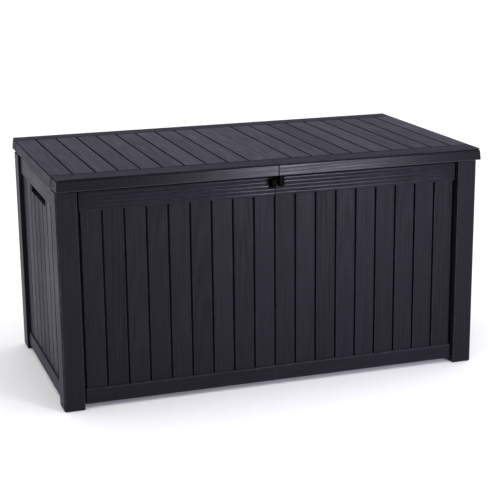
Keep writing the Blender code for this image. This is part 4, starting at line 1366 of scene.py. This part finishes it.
class DECKBOX_OT_hinges(bpy.types.Operator):
    """Finish the hinge leaves and pins, and build their screws"""

    bl_idname = "deck_box.hinges"
    bl_label = "Hinges"

    def execute(self, context):
        for number in range(1, 5):
            refine_node(f"hinge_body_leaf_{number}", "dark_resin", FITTING_EDGE)
            refine_node(f"hinge_lid_leaf_{number}", "dark_resin", FITTING_EDGE)
            refine_node(f"hinge_pin_{number}", "zinc_steel", PIN_EDGE)
            for tag in "ab":
                hinge_screw(f"hinge_screw_{number}{tag}")
        return {"FINISHED"}


class DECKBOX_OT_struts(bpy.types.Operator):
    """Build the two gas struts and finish their brackets"""

    bl_idname = "deck_box.struts"
    bl_label = "Gas struts"

    def execute(self, context):
        for tag, side_x in SIDES:
            strut(tag, side_x)
            refine_node("strut_wall_bracket_" + tag, "black_paint", FITTING_EDGE)
            refine_node("strut_lid_bracket_" + tag, "black_paint", FITTING_EDGE)
        return {"FINISHED"}


# Stage

# The camera's place round the box, in degrees and metres, and its lens in millimetres
AZIMUTH = -18.730
ELEVATION = 14.829
ROLL = -0.553
DISTANCE = 5.051
ASIDE = 0.0335
UP = 0.3736
LENS = 98.61

SKY_RISE = (0.05, 0.60)  # between these heights the horizon's colour turns into the sky's
FLOOR_SINK = 0.0005
WHITE = (1.0, 1.0, 1.0)
# Each soft light's place, the point it shines at, its size and its tint
LEFT_LIGHT = ((-3.2, -0.6, 1.9), (-0.3, 0.0, 0.4), (2.2, 2.6), WHITE)
TOP_LIGHT = ((0.2, 0.6, 3.6), (0.0, 0.0, 0.7), (3.0, 2.2), WHITE)
FRONT_LIGHT = ((1.03, -2.85, 0.66), (0.05, -0.41, 0.72), (0.65, 0.5), (0.86, 0.85, 1.0))


def soft_light(name, power, place, target, size, tint):
    data = bpy.data.lights.new(name, "AREA")
    data.shape = "RECTANGLE"
    data.size, data.size_y = size
    data.energy = power
    data.color = tint
    light = bpy.data.objects.new(name, data)
    light.location = place
    light.rotation_euler = (Vector(target) - Vector(place)).to_track_quat("-Z", "Y").to_euler()
    bpy.context.scene.collection.objects.link(light)


def stage_floor(size):
    """A square floor, a hair under the feet."""
    half = size / 2
    mesh = bpy.data.meshes.new("stage_floor")
    corners = [(*corner, 0.0) for corner in rectangle((-half, -half), (half, half))]
    mesh.from_pydata(corners, [], [(0, 1, 2, 3)])
    floor = bpy.data.objects.new("stage_floor", mesh)
    floor.data.materials.append(bpy.data.materials[FINISH + "pale_floor"])
    floor.location.z = -FLOOR_SINK
    bpy.context.scene.collection.objects.link(floor)


def surroundings(stage):
    """Light from all round, darker near the horizon."""
    world = bpy.data.worlds.new("studio")
    world.use_nodes = True
    tree = world.node_tree
    background = tree.nodes["Background"]
    towards = add_node(tree, "ShaderNodeTexCoord").outputs["Generated"]
    height = add_node(tree, "ShaderNodeSeparateXYZ", {0: towards}).outputs[2]
    light = blend_colours(tree, spread(tree, height, *SKY_RISE), stage.horizon_colour, stage.sky_colour)
    tree.links.new(light, background.inputs["Color"])
    background.inputs["Strength"].default_value = stage.sky_strength
    bpy.context.scene.world = world


def stage_camera():
    """The camera, turned and tilted round the foot of the box."""
    turn, tilt, roll = (math.radians(angle) for angle in (AZIMUTH, ELEVATION, ROLL))
    back = Vector((math.sin(turn) * math.cos(tilt), -math.cos(turn) * math.cos(tilt), math.sin(tilt)))
    right = Vector((math.cos(turn), math.sin(turn), 0.0))
    up = back.cross(right)
    side = right * math.cos(roll) + up * math.sin(roll)
    rise = up * math.cos(roll) - right * math.sin(roll)
    data = bpy.data.cameras.new("camera")
    data.lens = LENS
    camera = bpy.data.objects.new("camera", data)
    camera.rotation_euler = Matrix((side, rise, back)).transposed().to_euler()
    camera.location = back * DISTANCE + right * ASIDE + up * UP
    bpy.context.scene.collection.objects.link(camera)
    bpy.context.scene.camera = camera


class DECKBOX_OT_stage(bpy.types.Operator):
    """Set the floor, the soft lights, the surroundings and the camera"""

    bl_idname = "deck_box.stage"
    bl_label = "Stage"

    def execute(self, context):
        stage = context.scene.deck_box_stage
        stage_floor(stage.floor_size)
        surroundings(stage)
        soft_light("soft_left", stage.left_power, *LEFT_LIGHT)
        soft_light("soft_top", stage.top_power, *TOP_LIGHT)
        soft_light("soft_front", stage.front_power, *FRONT_LIGHT)
        stage_camera()
        context.scene.view_settings.view_transform = "Standard"
        return {"FINISHED"}


class DECKBOX_PT_panel(bpy.types.Panel):
    """The sizes, looks and steps of the deck box"""

    bl_idname = "DECKBOX_PT_panel"
    bl_label = "Deck box"
    bl_space_type = "VIEW_3D"
    bl_region_type = "UI"
    bl_category = "Deck box"

    def draw(self, context):
        for holder, kind in SETTINGS.items():
            box = self.layout.box()
            for key in kind.__annotations__:
                box.prop(getattr(context.scene, holder), key)
        for operator in OPERATORS:
            self.layout.operator(operator.bl_idname)


SETTINGS = {
    "deck_box_sizes": DeckBoxSizes,
    "deck_box_looks": DeckBoxLooks,
    "deck_box_stage": DeckBoxStage,
}
OPERATORS = (
    DECKBOX_OT_finishes,
    DECKBOX_OT_corner_posts,
    DECKBOX_OT_long_panels,
    DECKBOX_OT_side_panels,
    DECKBOX_OT_floor,
    DECKBOX_OT_lid,
    DECKBOX_OT_lock_eyes,
    DECKBOX_OT_hinges,
    DECKBOX_OT_struts,
    DECKBOX_OT_stage,
)


def register():
    for item in (*SETTINGS.values(), *OPERATORS, DECKBOX_PT_panel):
        bpy.utils.register_class(item)
    for holder, kind in SETTINGS.items():
        setattr(bpy.types.Scene, holder, PointerProperty(type=kind))


def unregister():
    for holder in SETTINGS:
        delattr(bpy.types.Scene, holder)
    for item in reversed((*SETTINGS.values(), *OPERATORS, DECKBOX_PT_panel)):
        bpy.utils.unregister_class(item)


def main():
    register()
    bpy.ops.deck_box.finishes()
    bpy.ops.deck_box.corner_posts()
    bpy.ops.deck_box.long_panels()
    bpy.ops.deck_box.side_panels()
    bpy.ops.deck_box.floor_and_strips()
    bpy.ops.deck_box.lid()
    bpy.ops.deck_box.lock_eyes()
    bpy.ops.deck_box.hinges()
    bpy.ops.deck_box.struts()
    bpy.ops.deck_box.stage()


if __name__ == "__main__":
    main()
